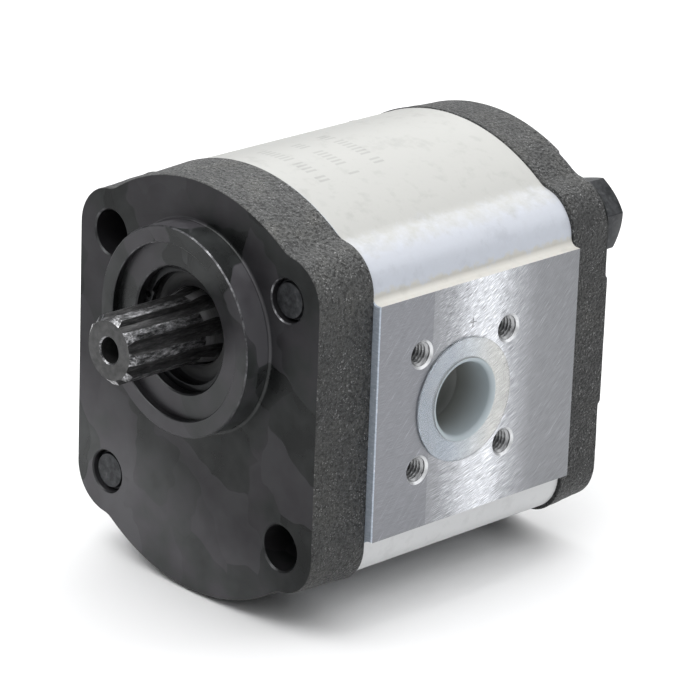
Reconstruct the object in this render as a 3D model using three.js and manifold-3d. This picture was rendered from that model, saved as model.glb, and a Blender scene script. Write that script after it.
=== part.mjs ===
// A hydraulic gear pump. A cast front cover carries the mounting flange, the
// shaft seal and the pilot boss; an extruded body holds two meshed gears between
// bearing blocks and has a port on each side; a cast rear cover closes it. Two
// long bolts go in from the rear and thread into the front cover.
//
// Millimetres, +Z up. The origin is on the drive shaft's axis, on the flange's
// mounting face. The shaft points along -Y and the ports face +X and -X. The
// driven gear lies below the drive gear, so the pump's own centre is below the
// origin.

import * as THREE from 'three';
import { mergeVertices } from 'three/addons/utils/BufferGeometryUtils.js';
import Module from 'manifold-3d';

const wasm = await Module();
wasm.setup();

// ---- Driving dimensions ----

const FIT_GAP = 0.3; // between a piece and the recess that it sits in
const FACE_GAP = 0.2; // between flat faces that slide or seal on each other

// Gears: both have the same teeth, so the centre distance is the pitch diameter.
const GEAR_TEETH = 12;
const GEAR_CENTRES = 31.1;
const GEAR_TIP_RADIUS = 18.3;
const GEAR_ROOT_RADIUS = 12.4;
const GEAR_WIDTH = 27;
const PRESSURE_ANGLE = THREE.MathUtils.degToRad(24);
const GEAR_BACKLASH = 0.3;

// Stations along the shaft
const COVER_JOINT_Y = 16.1; // front cover meets body
const BODY_LENGTH = 65.6;
const REAR_JOINT_Y = COVER_JOINT_Y + BODY_LENGTH;
const REAR_COVER_DEPTH = 13.4;
const REAR_FACE_Y = REAR_JOINT_Y + REAR_COVER_DEPTH;
const GEAR_INSET = (BODY_LENGTH - GEAR_WIDTH) / 2; // from either joint to the gears
const GEAR_FRONT_Y = COVER_JOINT_Y + GEAR_INSET;
const GEAR_REAR_Y = REAR_JOINT_Y - GEAR_INSET;
const PORT_Y = 44.2;

// Outline of covers and body, about the pump's centre
const CENTRE_Z = -GEAR_CENTRES / 2;
const OUTLINE_RADIUS = 50.4;
const CORNER_OFFSET = 30; // half of the 60 mm bolt square
const LOBE_RADIUS = 10.7;
const BLEND_RADIUS = 6;
const CAST_DRAFT = 1.016; // how much wider a cover is at its joint than at its face

// Front cover
const PILOT_RADIUS = 25;
const PILOT_HEIGHT = 7.1;
const COUNTERBORE_RADIUS = 21;
const COUNTERBORE_DEPTH = 1.9;
const SEAL_BORE_RADIUS = 15;
const SEAL_BORE_END_Y = 7.3;
const CIRCLIP_GROOVE_RADIUS = 16;
const CIRCLIP_Y = -2.2;
const CIRCLIP_THICKNESS = 1.2;
const SHAFT_PASSAGE_RADIUS = 10.2;

// Fasteners
const MOUNTING_HOLE_RADIUS = 5.6;
const BOLT_RADIUS = 5;
const BOLT_END_Y = 0.8;
const BOLT_HEAD_FLATS = 17;
const BOLT_HEAD_HEIGHT = 7.4;
const BOLT_SPOT_RADIUS = 16.2; // spot faces on the rear cover, which leave a raised land
const HOLE_SPOT_RADIUS = 19.4;
const SPOT_FACE_DEPTH = 0.95;
const BOLT_SEAT_Y = REAR_FACE_Y - SPOT_FACE_DEPTH;
const DOWEL_RADIUS = 2.5;
const DOWEL_LENGTH = 12;
const DOWEL_PLACE = { x: 31, z: 12 }; // from the pump's centre

// Body
const PAD_HALF_WIDTH = 43.5;
const PAD_HALF_HEIGHT = 28.7;
const PAD_FILLET = 2;
const CHAMBER_RADIUS = GEAR_TIP_RADIUS + FIT_GAP;
const PORT_RADIUS = 10;
const PORT_THREAD_OFFSET = 20 / Math.SQRT2; // four M6 holes on a 40 mm circle
const PORT_THREAD_RADIUS = 2.6;
const PORT_THREAD_DEPTH = 13;
const BODY_SEAL_RADIUS = 22.6;
const BODY_SEAL_WIDTH = 1.8;

// Shafts
const JOURNAL_RADIUS = 9;
const SHAFT_END_Y = -26.3;
const SPLINE_END_Y = -4.3;
const SPLINE_TEETH = 9;
const SPLINE_TIP_RADIUS = 8.25;
const SPLINE_ROOT_RADIUS = 6.9;
const SPLINE_FIRST_SPACE = 17.5; // degrees from +X towards +Z
const SHAFT_REAR_Y = REAR_JOINT_Y - 0.8;
const BUSH_RADIUS = 10.6;

// Dust plugs
const PLUG_FLANGE_RADIUS = 15;
const PLUG_FLANGE_THICKNESS = 1;
const PLUG_CUP_DEPTH = 13;
const PLUG_WALL = 0.9;

// ---- Solids from three.js geometry ----

const MERGE_DISTANCE = 1e-4;
const CHORD_ERROR = 0.1; // how far a flat side may lie inside the round that it stands for

const chordAngle = (radius) => 2 * Math.acos(1 - CHORD_ERROR / radius);
const sidesFor = (radius) => 4 * Math.ceil((2 * Math.PI) / chordAngle(radius) / 4);

function toSolid(geometry) {
  geometry.deleteAttribute('normal');
  geometry.deleteAttribute('uv');
  const merged = mergeVertices(geometry, MERGE_DISTANCE);
  const corners = merged.index.array;
  const triangles = [];
  for (let i = 0; i < corners.length; i += 3) {
    const [a, b, c] = [corners[i], corners[i + 1], corners[i + 2]];
    if (a !== b && b !== c && c !== a) triangles.push(a, b, c);
  }
  return new wasm.Manifold(new wasm.Mesh({
    numProp: 3,
    vertProperties: new Float32Array(merged.attributes.position.array),
    triVerts: new Uint32Array(triangles),
  }));
}

function toGeometry(solid) {
  const { vertProperties, triVerts } = solid.getMesh();
  const geometry = new THREE.BufferGeometry();
  geometry.setAttribute('position', new THREE.BufferAttribute(vertProperties, 3));
  geometry.setIndex(new THREE.BufferAttribute(triVerts, 1));
  geometry.computeVertexNormals();
  return geometry;
}

// A span along Y that starts at one of the body's joints. `into` is +1 at the front joint
// and -1 at the rear joint, so the span always runs into the body.
const inward = (into, near, far) => (into > 0 ? [near, far] : [-far, -near]);

const cut = (solid, cutters) => cutters.reduce((left, cutter) => left.subtract(cutter), solid);
const join = (solids) => solids.reduce((whole, part) => whole.add(part));

// A shape drawn in X and Z, made solid from one place along Y to another
function plate(shape, fromY, toY) {
  const geometry = new THREE.ExtrudeGeometry(shape, { depth: toY - fromY, bevelEnabled: false });
  return toSolid(geometry.rotateX(Math.PI / 2).translate(0, toY, 0));
}

// A closed profile of [radius, y] points turned about the Y axis
function turnedGeometry(profile, sides) {
  const points = profile.map(([radius, y]) => new THREE.Vector2(radius, y));
  if (THREE.ShapeUtils.area(points) < 0) points.reverse();
  const widest = Math.max(...points.map((point) => point.x));
  return new THREE.LatheGeometry([...points, points[0]], sides ?? sidesFor(widest));
}

function turned(profile, { x = 0, z = 0 } = {}) {
  return toSolid(turnedGeometry(profile).translate(x, 0, z));
}

function rod(radius, fromY, toY, { x = 0, z = 0 } = {}) {
  const geometry = new THREE.CylinderGeometry(radius, radius, toY - fromY, sidesFor(radius));
  return toSolid(geometry.translate(x, (fromY + toY) / 2, z));
}

// ---- Shapes in X and Z ----

// An arc as an even number of chords, so that a symmetric one keeps its crest
function arc(x, z, radius, from, to) {
  const chords = 2 * Math.ceil(Math.abs(to - from) / chordAngle(radius) / 2);
  return Array.from({ length: chords + 1 }, (_, i) => {
    const angle = from + ((to - from) * i) / chords;
    return new THREE.Vector2(x + radius * Math.cos(angle), z + radius * Math.sin(angle));
  });
}

function shapeOf(points) {
  return new THREE.Shape(points.filter((point, i) =>
    point.distanceTo(points.at(i - 1)) > MERGE_DISTANCE));
}

// Where the concave blend between the outline's circle and a corner lobe is centred
function cornerBlend(radius, lobe) {
  const reach = radius + BLEND_RADIUS;
  const toLobe = Math.hypot(CORNER_OFFSET, CORNER_OFFSET);
  const turn = Math.acos((reach ** 2 + toLobe ** 2 - (lobe + BLEND_RADIUS) ** 2)
    / (2 * reach * toLobe));
  const onCircle = Math.PI / 4 + turn;
  const x = reach * Math.cos(onCircle);
  const z = reach * Math.sin(onCircle);
  return { x, z, onCircle, onLobe: Math.atan2(z - CORNER_OFFSET, x - CORNER_OFFSET) };
}

// One side's port pad, between its fillets against the two lobes, from below upwards
function padSide(lobe, lean) {
  const filletX = CORNER_OFFSET + (lobe + PAD_FILLET) * Math.cos(lean);
  const filletZ = PAD_HALF_HEIGHT + PAD_FILLET;
  const quarter = Math.PI / 2;
  return [
    ...arc(filletX, -filletZ, PAD_FILLET, Math.PI - lean, quarter),
    new THREE.Vector2(PAD_HALF_WIDTH, -PAD_HALF_HEIGHT),
    new THREE.Vector2(PAD_HALF_WIDTH, PAD_HALF_HEIGHT),
    ...arc(filletX, filletZ, PAD_FILLET, -quarter, -Math.PI + lean),
  ];
}

// The common outline: a circle above and below, a lobe round each bolt hole, flat
// sides. One side and the arc above it are drawn, then turned half way round.
function outline({ radius = OUTLINE_RADIUS, lobe = LOBE_RADIUS, pads = false } = {}) {
  const blend = cornerBlend(radius, lobe);
  const lean = pads
    ? Math.asin((PAD_HALF_HEIGHT + PAD_FILLET - CORNER_OFFSET) / (lobe + PAD_FILLET)) : 0;
  const half = [
    ...(pads ? padSide(lobe, lean) : []),
    ...arc(CORNER_OFFSET, CORNER_OFFSET, lobe, lean, blend.onLobe),
    ...arc(blend.x, blend.z, BLEND_RADIUS, blend.onLobe + Math.PI, blend.onCircle + Math.PI),
    ...arc(0, 0, radius, blend.onCircle, Math.PI - blend.onCircle),
    ...arc(-blend.x, blend.z, BLEND_RADIUS, -blend.onCircle, -blend.onLobe),
    ...arc(-CORNER_OFFSET, CORNER_OFFSET, lobe, Math.PI - blend.onLobe, Math.PI - lean),
  ];
  const otherHalf = half.map((point) => point.clone().negate());
  return shapeOf([...half, ...otherHalf].map((point) => point.setY(point.y + CENTRE_Z)));
}

// Two overlapping circles, one about each gear's centre
function figureEight(radius) {
  const waist = Math.asin(GEAR_CENTRES / 2 / radius);
  return shapeOf([
    ...arc(0, 0, radius, -waist, Math.PI + waist),
    ...arc(0, -GEAR_CENTRES, radius, Math.PI - waist, 2 * Math.PI + waist),
  ]);
}

// A ring that runs round both gear centres with straight sides
function stadiumRing(innerRadius, outerRadius) {
  const [inner, outer] = [innerRadius, outerRadius].map((radius) => shapeOf([
    ...arc(0, 0, radius, 0, Math.PI),
    ...arc(0, -GEAR_CENTRES, radius, Math.PI, 2 * Math.PI),
  ]));
  outer.holes.push(inner);
  return outer;
}

// A strip shaped like a 3, round the outlet side of both bearings
const STRIP_TOP = THREE.MathUtils.degToRad(100);
const STRIP_WAIST = THREE.MathUtils.degToRad(-62);

function threeStrip(innerRadius, outerRadius) {
  return shapeOf([
    ...arc(0, -GEAR_CENTRES, outerRadius, -STRIP_TOP, -STRIP_WAIST),
    ...arc(0, 0, outerRadius, STRIP_WAIST, STRIP_TOP),
    ...arc(0, 0, innerRadius, STRIP_TOP, STRIP_WAIST),
    ...arc(0, -GEAR_CENTRES, innerRadius, -STRIP_WAIST, -STRIP_TOP),
  ]);
}

const involute = (angle) => Math.tan(angle) - angle;

// An involute gear with the middle of one tooth at the angle given
function gearShape(toothAngle) {
  const pitchRadius = GEAR_CENTRES / 2;
  const baseRadius = pitchRadius * Math.cos(PRESSURE_ANGLE);
  const toothPitch = (2 * Math.PI) / GEAR_TEETH;
  const halfTooth = (Math.PI * pitchRadius / GEAR_TEETH - GEAR_BACKLASH / 2) / 2 / pitchRadius;
  const halfAngle = (radius) => {
    const angle = Math.acos(Math.min(1, baseRadius / radius));
    return halfTooth + involute(PRESSURE_ANGLE) - involute(angle);
  };
  const flank = [GEAR_ROOT_RADIUS, baseRadius, pitchRadius + 0.8, GEAR_TIP_RADIUS];
  const points = [];
  for (let tooth = 0; tooth < GEAR_TEETH; tooth += 1) {
    const middle = toothAngle + tooth * toothPitch;
    const polar = (radius, angle) => points.push(
      new THREE.Vector2(radius * Math.cos(angle), radius * Math.sin(angle)));
    for (const radius of flank) polar(radius, middle - halfAngle(Math.max(radius, baseRadius)));
    for (const radius of [...flank].reverse()) {
      polar(radius, middle + halfAngle(Math.max(radius, baseRadius)));
    }
  }
  return new THREE.Shape(points);
}

// ---- Covers ----

const corner = (xSide, zSide) => ({ x: xSide * CORNER_OFFSET, z: CENTRE_Z + zSide * CORNER_OFFSET });
const MOUNTING_HOLES = [corner(-1, 1), corner(1, -1)];
const BOLT_HOLES = [corner(1, 1), corner(-1, -1)];
const DOWELS = [1, -1].map((side) => ({
  x: side * DOWEL_PLACE.x, z: CENTRE_Z - side * DOWEL_PLACE.z,
}));

const throughHoles = (places, radius, fromY, toY) =>
  places.map((place) => rod(radius, fromY, toY, place));

const dowelHoles = (jointY) =>
  throughHoles(DOWELS, DOWEL_RADIUS + FIT_GAP, jointY - DOWEL_LENGTH / 2 - FIT_GAP,
    jointY + DOWEL_LENGTH / 2 + FIT_GAP);

// A cover's plate, widened towards its joint with the body as a casting's draft
function castPlate(fromY, toY, jointY) {
  const depth = toY - fromY;
  return plate(outline(), fromY, toY).warp((point) => {
    const scale = 1 + (CAST_DRAFT - 1) * (1 - Math.abs(point[1] - jointY) / depth);
    point[0] *= scale;
    point[2] = CENTRE_Z + (point[2] - CENTRE_Z) * scale;
  });
}

function frontCover() {
  const edge = 0.5;
  const boss = turned([
    [0, COVER_JOINT_Y - 1], [0, -PILOT_HEIGHT], [PILOT_RADIUS - edge, -PILOT_HEIGHT],
    [PILOT_RADIUS, -PILOT_HEIGHT + edge], [PILOT_RADIUS, COVER_JOINT_Y - 1],
  ]);
  const recessFloorY = COUNTERBORE_DEPTH - PILOT_HEIGHT;
  const grooveFrontY = CIRCLIP_Y - CIRCLIP_THICKNESS / 2 - FIT_GAP;
  const grooveRearY = CIRCLIP_Y + CIRCLIP_THICKNESS / 2 + FIT_GAP;
  const sealRecess = turned([
    [0, -PILOT_HEIGHT - 1], [COUNTERBORE_RADIUS, -PILOT_HEIGHT - 1],
    [COUNTERBORE_RADIUS, recessFloorY], [SEAL_BORE_RADIUS, recessFloorY],
    [SEAL_BORE_RADIUS, grooveFrontY], [CIRCLIP_GROOVE_RADIUS, grooveFrontY],
    [CIRCLIP_GROOVE_RADIUS, grooveRearY], [SEAL_BORE_RADIUS, grooveRearY],
    [SEAL_BORE_RADIUS, SEAL_BORE_END_Y], [SHAFT_PASSAGE_RADIUS, SEAL_BORE_END_Y],
    [SHAFT_PASSAGE_RADIUS, COVER_JOINT_Y + 1], [0, COVER_JOINT_Y + 1],
  ]);
  return cut(castPlate(0, COVER_JOINT_Y, COVER_JOINT_Y).add(boss), [
    sealRecess,
    ...throughHoles(MOUNTING_HOLES, MOUNTING_HOLE_RADIUS, -1, COVER_JOINT_Y + 1),
    ...throughHoles(BOLT_HOLES, BOLT_RADIUS + FIT_GAP, -1, COVER_JOINT_Y + 1),
    ...dowelHoles(COVER_JOINT_Y),
  ]);
}

function rearCover() {
  const spotFaces = [
    ...throughHoles(BOLT_HOLES, BOLT_SPOT_RADIUS, BOLT_SEAT_Y, REAR_FACE_Y + 1),
    ...throughHoles(MOUNTING_HOLES, HOLE_SPOT_RADIUS, BOLT_SEAT_Y, REAR_FACE_Y + 1),
  ];
  return cut(castPlate(REAR_JOINT_Y, REAR_FACE_Y, REAR_JOINT_Y), [
    ...spotFaces,
    ...throughHoles(MOUNTING_HOLES, MOUNTING_HOLE_RADIUS, REAR_JOINT_Y - 1, REAR_FACE_Y + 1),
    ...throughHoles(BOLT_HOLES, BOLT_RADIUS + FIT_GAP, REAR_JOINT_Y - 1, REAR_FACE_Y + 1),
    ...dowelHoles(REAR_JOINT_Y),
  ]);
}

// ---- Body ----

// A tapped hole in a port pad: a drilled hole with a countersunk mouth
function portThread(side, y, z) {
  const mouth = 0.9;
  const sides = 8;
  const geometry = turnedGeometry([
    [0, -1], [PORT_THREAD_RADIUS + mouth, -1], [PORT_THREAD_RADIUS + mouth, 0],
    [PORT_THREAD_RADIUS, mouth], [PORT_THREAD_RADIUS, PORT_THREAD_DEPTH], [0, PORT_THREAD_DEPTH],
  ], sides);
  return toSolid(geometry.rotateZ(side * Math.PI / 2).translate(side * PAD_HALF_WIDTH, y, z));
}

function pumpBody() {
  const sealGroove = stadiumRing(BODY_SEAL_RADIUS - BODY_SEAL_WIDTH / 2 - FIT_GAP,
    BODY_SEAL_RADIUS + BODY_SEAL_WIDTH / 2 + FIT_GAP);
  const grooveDepth = BODY_SEAL_WIDTH + FIT_GAP;
  const portLength = 2 * PAD_HALF_WIDTH + 2;
  const portBore = toSolid(
    new THREE.CylinderGeometry(PORT_RADIUS, PORT_RADIUS, portLength, sidesFor(PORT_RADIUS))
      .rotateZ(Math.PI / 2).translate(0, PORT_Y, CENTRE_Z));
  const threads = [1, -1].flatMap((side) => [1, -1].flatMap((along) => [1, -1].map((up) =>
    portThread(side, PORT_Y + along * PORT_THREAD_OFFSET, CENTRE_Z + up * PORT_THREAD_OFFSET))));
  const bodyOutline = outline({ radius: OUTLINE_RADIUS + 0.5, lobe: LOBE_RADIUS - 0.1, pads: true });
  return cut(plate(bodyOutline, COVER_JOINT_Y, REAR_JOINT_Y), [
    plate(figureEight(CHAMBER_RADIUS), COVER_JOINT_Y - 1, REAR_JOINT_Y + 1),
    plate(sealGroove, COVER_JOINT_Y - 1, COVER_JOINT_Y + grooveDepth),
    plate(sealGroove, REAR_JOINT_Y - grooveDepth, REAR_JOINT_Y + 1),
    portBore,
    ...threads,
    ...throughHoles([...MOUNTING_HOLES, ...BOLT_HOLES], MOUNTING_HOLE_RADIUS,
      COVER_JOINT_Y - 1, REAR_JOINT_Y + 1),
    ...dowelHoles(COVER_JOINT_Y),
    ...dowelHoles(REAR_JOINT_Y),
  ]);
}

function bodySeal(into) {
  const half = BODY_SEAL_WIDTH / 2;
  return plate(stadiumRing(BODY_SEAL_RADIUS - half, BODY_SEAL_RADIUS + half),
    ...inward(into, 0, BODY_SEAL_WIDTH));
}

// ---- Shafts and their bearings ----

function journals(fromY, toY) {
  const edge = 0.8;
  return turned([
    [0, fromY], [JOURNAL_RADIUS - edge, fromY], [JOURNAL_RADIUS, fromY + edge],
    [JOURNAL_RADIUS, toY - edge], [JOURNAL_RADIUS - edge, toY], [0, toY],
  ]);
}

// One tooth space of the spline, narrower at its root, turned to its place
function splineSpace(place) {
  const rootHalf = 0.9;
  const mouthHalf = 3.1;
  const mouthRadius = JOURNAL_RADIUS + 1;
  const shape = new THREE.Shape([
    new THREE.Vector2(SPLINE_ROOT_RADIUS, -rootHalf), new THREE.Vector2(mouthRadius, -mouthHalf),
    new THREE.Vector2(mouthRadius, mouthHalf), new THREE.Vector2(SPLINE_ROOT_RADIUS, rootHalf),
  ]);
  const turn = SPLINE_FIRST_SPACE + (place * 360) / SPLINE_TEETH;
  return plate(shape, SHAFT_END_Y - 1, SPLINE_END_Y + 5).rotate([0, -turn, 0]);
}

function driveGearShaft() {
  const edge = 1.2;
  const centreHoleRadius = 3.05;
  const centreHoleDepth = 12;
  const stub = turned([
    [0, SHAFT_END_Y], [SPLINE_TIP_RADIUS - edge, SHAFT_END_Y],
    [SPLINE_TIP_RADIUS, SHAFT_END_Y + edge], [SPLINE_TIP_RADIUS, SPLINE_END_Y],
    [JOURNAL_RADIUS, SPLINE_END_Y + 0.6], [JOURNAL_RADIUS, SEAL_BORE_END_Y], [0, SEAL_BORE_END_Y],
  ]);
  const spaces = Array.from({ length: SPLINE_TEETH }, (_, place) => splineSpace(place));
  const gear = plate(gearShape(-Math.PI / 2), GEAR_FRONT_Y, GEAR_REAR_Y);
  return cut(join([stub, journals(0, SHAFT_REAR_Y), gear]), [
    ...spaces,
    rod(centreHoleRadius, SHAFT_END_Y - 1, SHAFT_END_Y + centreHoleDepth),
  ]);
}

// The driven gear, drawn about its own axis
function drivenGearShaft() {
  const halfTooth = Math.PI / GEAR_TEETH;
  const gear = plate(gearShape(Math.PI / 2 + halfTooth), GEAR_FRONT_Y, GEAR_REAR_Y);
  return gear.add(journals(COVER_JOINT_Y + 0.8, SHAFT_REAR_Y));
}

const BLOCK_SPAN = [FACE_GAP, GEAR_INSET - FACE_GAP]; // from the joint towards the gears
const STRIP_DEPTH = 2.2; // of the pressure seal, in the face that is away from the gears
const SEAL_STRIP = [14.5, 16.2]; // inner and outer radius
const BACKUP_STRIP = [13, 14.2];

function bearingBlock(into) {
  const [from, to] = inward(into, ...BLOCK_SPAN);
  const groove = threeStrip(BACKUP_STRIP[0] - FIT_GAP, SEAL_STRIP[1] + FIT_GAP);
  const bores = [0, -GEAR_CENTRES].map((z) =>
    rod(BUSH_RADIUS + FIT_GAP, from - 1, to + 1, { z }));
  return cut(plate(figureEight(CHAMBER_RADIUS - FIT_GAP), from, to), [
    ...bores,
    plate(groove, ...inward(into, FACE_GAP - 1, FACE_GAP + STRIP_DEPTH + FIT_GAP)),
  ]);
}

const strip = (into, [inner, outer]) =>
  plate(threeStrip(inner, outer), ...inward(into, FACE_GAP, FACE_GAP + STRIP_DEPTH));

function journalBush(into) {
  const [from, to] = inward(into, ...BLOCK_SPAN);
  return turned([
    [JOURNAL_RADIUS + FIT_GAP, from], [BUSH_RADIUS, from],
    [BUSH_RADIUS, to], [JOURNAL_RADIUS + FIT_GAP, to],
  ]);
}

// ---- Shaft seal, measured from its front face ----

const SEAL_FRONT_Y = 0.2;
const SEAL_LENGTH = 6.8;
const SEAL_CASE_RADIUS = SEAL_BORE_RADIUS - FIT_GAP;
const SEAL_LIP_RADIUS = JOURNAL_RADIUS + FIT_GAP;
const SPRING_RADIUS = 11.5;
const SPRING_DEPTH = 5.2;
const SPRING_WIRE_RADIUS = 0.5;

function shaftLipSeal() {
  return turned([
    [SEAL_CASE_RADIUS, 0], [SEAL_CASE_RADIUS, SEAL_LENGTH],
    [SEAL_CASE_RADIUS - 1.8, SEAL_LENGTH], [SEAL_CASE_RADIUS - 1.8, 2.2],
    [SPRING_RADIUS - 0.9, 2.4], [SPRING_RADIUS - 0.9, SPRING_DEPTH + 1],
    [SEAL_LIP_RADIUS + 0.7, SPRING_DEPTH + 1], [SEAL_LIP_RADIUS, SPRING_DEPTH],
    [SEAL_LIP_RADIUS + 0.8, 2], [SEAL_LIP_RADIUS + 0.2, 0],
  ]);
}

function garterSpring() {
  const ring = new THREE.TorusGeometry(SPRING_RADIUS, SPRING_WIRE_RADIUS, 6, sidesFor(SPRING_RADIUS));
  return toSolid(ring.rotateX(Math.PI / 2));
}

// An internal retaining ring: open on the -X side, with an eyed lug at each end
function retainingRing() {
  const outerRadius = CIRCLIP_GROOVE_RADIUS - FIT_GAP;
  const innerRadius = 13.4;
  const lugRadius = 12.6;
  const eyeHoleRadius = 0.8;
  const gapHalf = THREE.MathUtils.degToRad(12);
  const lugSweep = THREE.MathUtils.degToRad(14);
  const openAt = -Math.PI;
  const full = 2 * Math.PI;
  const shape = shapeOf([
    ...arc(0, 0, outerRadius, openAt + gapHalf, openAt - gapHalf + full),
    ...arc(0, 0, lugRadius, openAt - gapHalf, openAt - gapHalf - lugSweep),
    ...arc(0, 0, innerRadius, openAt - gapHalf - lugSweep, openAt + gapHalf + lugSweep - full),
    ...arc(0, 0, lugRadius, openAt + gapHalf + lugSweep, openAt + gapHalf),
  ]);
  const eyeRadius = (lugRadius + outerRadius) / 2;
  const eyes = [1, -1].map((side) => {
    const angle = openAt + side * (gapHalf + lugSweep / 2);
    return rod(eyeHoleRadius, -CIRCLIP_THICKNESS, CIRCLIP_THICKNESS,
      { x: eyeRadius * Math.cos(angle), z: eyeRadius * Math.sin(angle) });
  });
  return cut(plate(shape, -CIRCLIP_THICKNESS / 2, CIRCLIP_THICKNESS / 2), eyes);
}

// ---- Fasteners ----

// A long hexagon bolt that points along -Y, with the underside of its head at zero
function coverBolt() {
  const length = BOLT_SEAT_Y - BOLT_END_Y;
  const edge = 0.8;
  const shank = turned([
    [0, -length], [BOLT_RADIUS - edge, -length], [BOLT_RADIUS, edge - length],
    [BOLT_RADIUS, 1], [0, 1],
  ]);
  const headRadius = BOLT_HEAD_FLATS / Math.sqrt(3);
  const cornerTurn = THREE.MathUtils.degToRad(15);
  const head = new THREE.CylinderGeometry(headRadius, headRadius, BOLT_HEAD_HEIGHT, 6)
    .rotateY(Math.PI / 2 - cornerTurn).translate(0, BOLT_HEAD_HEIGHT / 2, 0);
  const cone = turned([
    [0, -1], [headRadius + 1, -1], [headRadius + 1, BOLT_HEAD_HEIGHT - 1.6],
    [BOLT_HEAD_FLATS / 2 - 0.4, BOLT_HEAD_HEIGHT], [0, BOLT_HEAD_HEIGHT],
  ]);
  return shank.add(toSolid(head).intersect(cone));
}

const dowel = () => rod(DOWEL_RADIUS, -DOWEL_LENGTH / 2, DOWEL_LENGTH / 2);

// ---- Dust plugs ----

// A thin flange at zero that rolls into a closed cup, pointing along +Y
function portPlug() {
  const cupRadius = PORT_RADIUS - FIT_GAP;
  const innerRadius = cupRadius - PLUG_WALL;
  const face = -PLUG_FLANGE_THICKNESS;
  return turned([
    [PLUG_FLANGE_RADIUS, 0], [PLUG_FLANGE_RADIUS, face], [innerRadius + 2, face],
    [innerRadius + 0.7, face + 0.5], [innerRadius, face + 1.8],
    [innerRadius, PLUG_CUP_DEPTH - PLUG_WALL], [0, PLUG_CUP_DEPTH - PLUG_WALL],
    [0, PLUG_CUP_DEPTH], [cupRadius, PLUG_CUP_DEPTH], [cupRadius, 0],
  ]);
}

// ---- Assembly ----

const material = (color, roughness, metalness) =>
  new THREE.MeshStandardMaterial({ color, roughness, metalness });

const CAST_IRON = material(0x34363a, 0.7, 0.7);
const ALUMINIUM = material(0xd6d9dc, 0.4, 0.9);
const STEEL = material(0x6e7074, 0.35, 1);
const BRIGHT_STEEL = material(0xb4b6b8, 0.25, 1);
const BRONZE = material(0xa08a5a, 0.4, 0.9);
const BLACK_OXIDE = material(0x26272a, 0.5, 0.8);
const RUBBER = material(0x161616, 0.8, 0);
const BACKUP_PLASTIC = material(0xe8e4d8, 0.6, 0);
const PLUG_PLASTIC = material(0xaebccd, 0.35, 0);

const pump = new THREE.Group();

function addGroup(y) {
  const group = new THREE.Group();
  group.position.y = y;
  pump.add(group);
  return group;
}

function addPart(parent, name, solid, partMaterial, { x = 0, y = 0, z = 0 } = {}) {
  const mesh = new THREE.Mesh(toGeometry(solid), partMaterial);
  mesh.name = name;
  mesh.position.set(x, y, z);
  parent.add(mesh);
  return mesh;
}

const drivenAxis = { z: -GEAR_CENTRES };

addPart(pump, 'front_cover', frontCover(), CAST_IRON);
addPart(pump, 'pump_body', pumpBody(), ALUMINIUM);
addPart(pump, 'rear_cover', rearCover(), CAST_IRON);
addPart(pump, 'drive_gear_shaft', driveGearShaft(), STEEL);
addPart(pump, 'driven_gear_shaft', drivenGearShaft(), STEEL, drivenAxis);

for (const [end, into, jointY] of [['front', 1, COVER_JOINT_Y], ['rear', -1, REAR_JOINT_Y]]) {
  const joint = addGroup(jointY);
  addPart(joint, `${end}_bearing_block`, bearingBlock(into), ALUMINIUM);
  addPart(joint, `${end}_drive_bush`, journalBush(into), BRONZE);
  addPart(joint, `${end}_driven_bush`, journalBush(into), BRONZE, drivenAxis);
  addPart(joint, `${end}_body_seal`, bodySeal(into), RUBBER);
  addPart(joint, `${end}_pressure_seal`, strip(into, SEAL_STRIP), RUBBER);
  addPart(joint, `${end}_backup_strip`, strip(into, BACKUP_STRIP), BACKUP_PLASTIC);
  addPart(joint, `${end}_right_dowel`, dowel(), BRIGHT_STEEL, DOWELS[0]);
  addPart(joint, `${end}_left_dowel`, dowel(), BRIGHT_STEEL, DOWELS[1]);
}

const shaftSeal = addGroup(SEAL_FRONT_Y);
addPart(shaftSeal, 'shaft_lip_seal', shaftLipSeal(), RUBBER);
addPart(shaftSeal, 'seal_garter_spring', garterSpring(), BRIGHT_STEEL, { y: SPRING_DEPTH });
addPart(pump, 'seal_retaining_ring', retainingRing(), BLACK_OXIDE, { y: CIRCLIP_Y });

const boltSeat = addGroup(BOLT_SEAT_Y);
addPart(boltSeat, 'upper_cover_bolt', coverBolt(), BLACK_OXIDE, BOLT_HOLES[0]);
addPart(boltSeat, 'lower_cover_bolt', coverBolt(), BLACK_OXIDE, BOLT_HOLES[1]);

for (const [name, side] of [['outlet_port_plug', 1], ['inlet_port_plug', -1]]) {
  const place = { x: side * (PAD_HALF_WIDTH + FACE_GAP), y: PORT_Y, z: CENTRE_Z };
  addPart(pump, name, portPlug(), PLUG_PLASTIC, place).rotation.z = side * Math.PI / 2;
}

export default pump;
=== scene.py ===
"""The looks of a hydraulic gear pump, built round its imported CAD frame.

The frame says where each piece is. This script makes a fine mesh for every
piece, gives each surface a procedural material, and adds the floor, the lights
and the camera. Lengths here are millimetres, and MM turns them into metres.
The shaft runs along Y and the ports face +X and -X.
"""

import math

import bmesh
import bpy
import numpy as np
from mathutils import Matrix, Vector, noise


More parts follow.
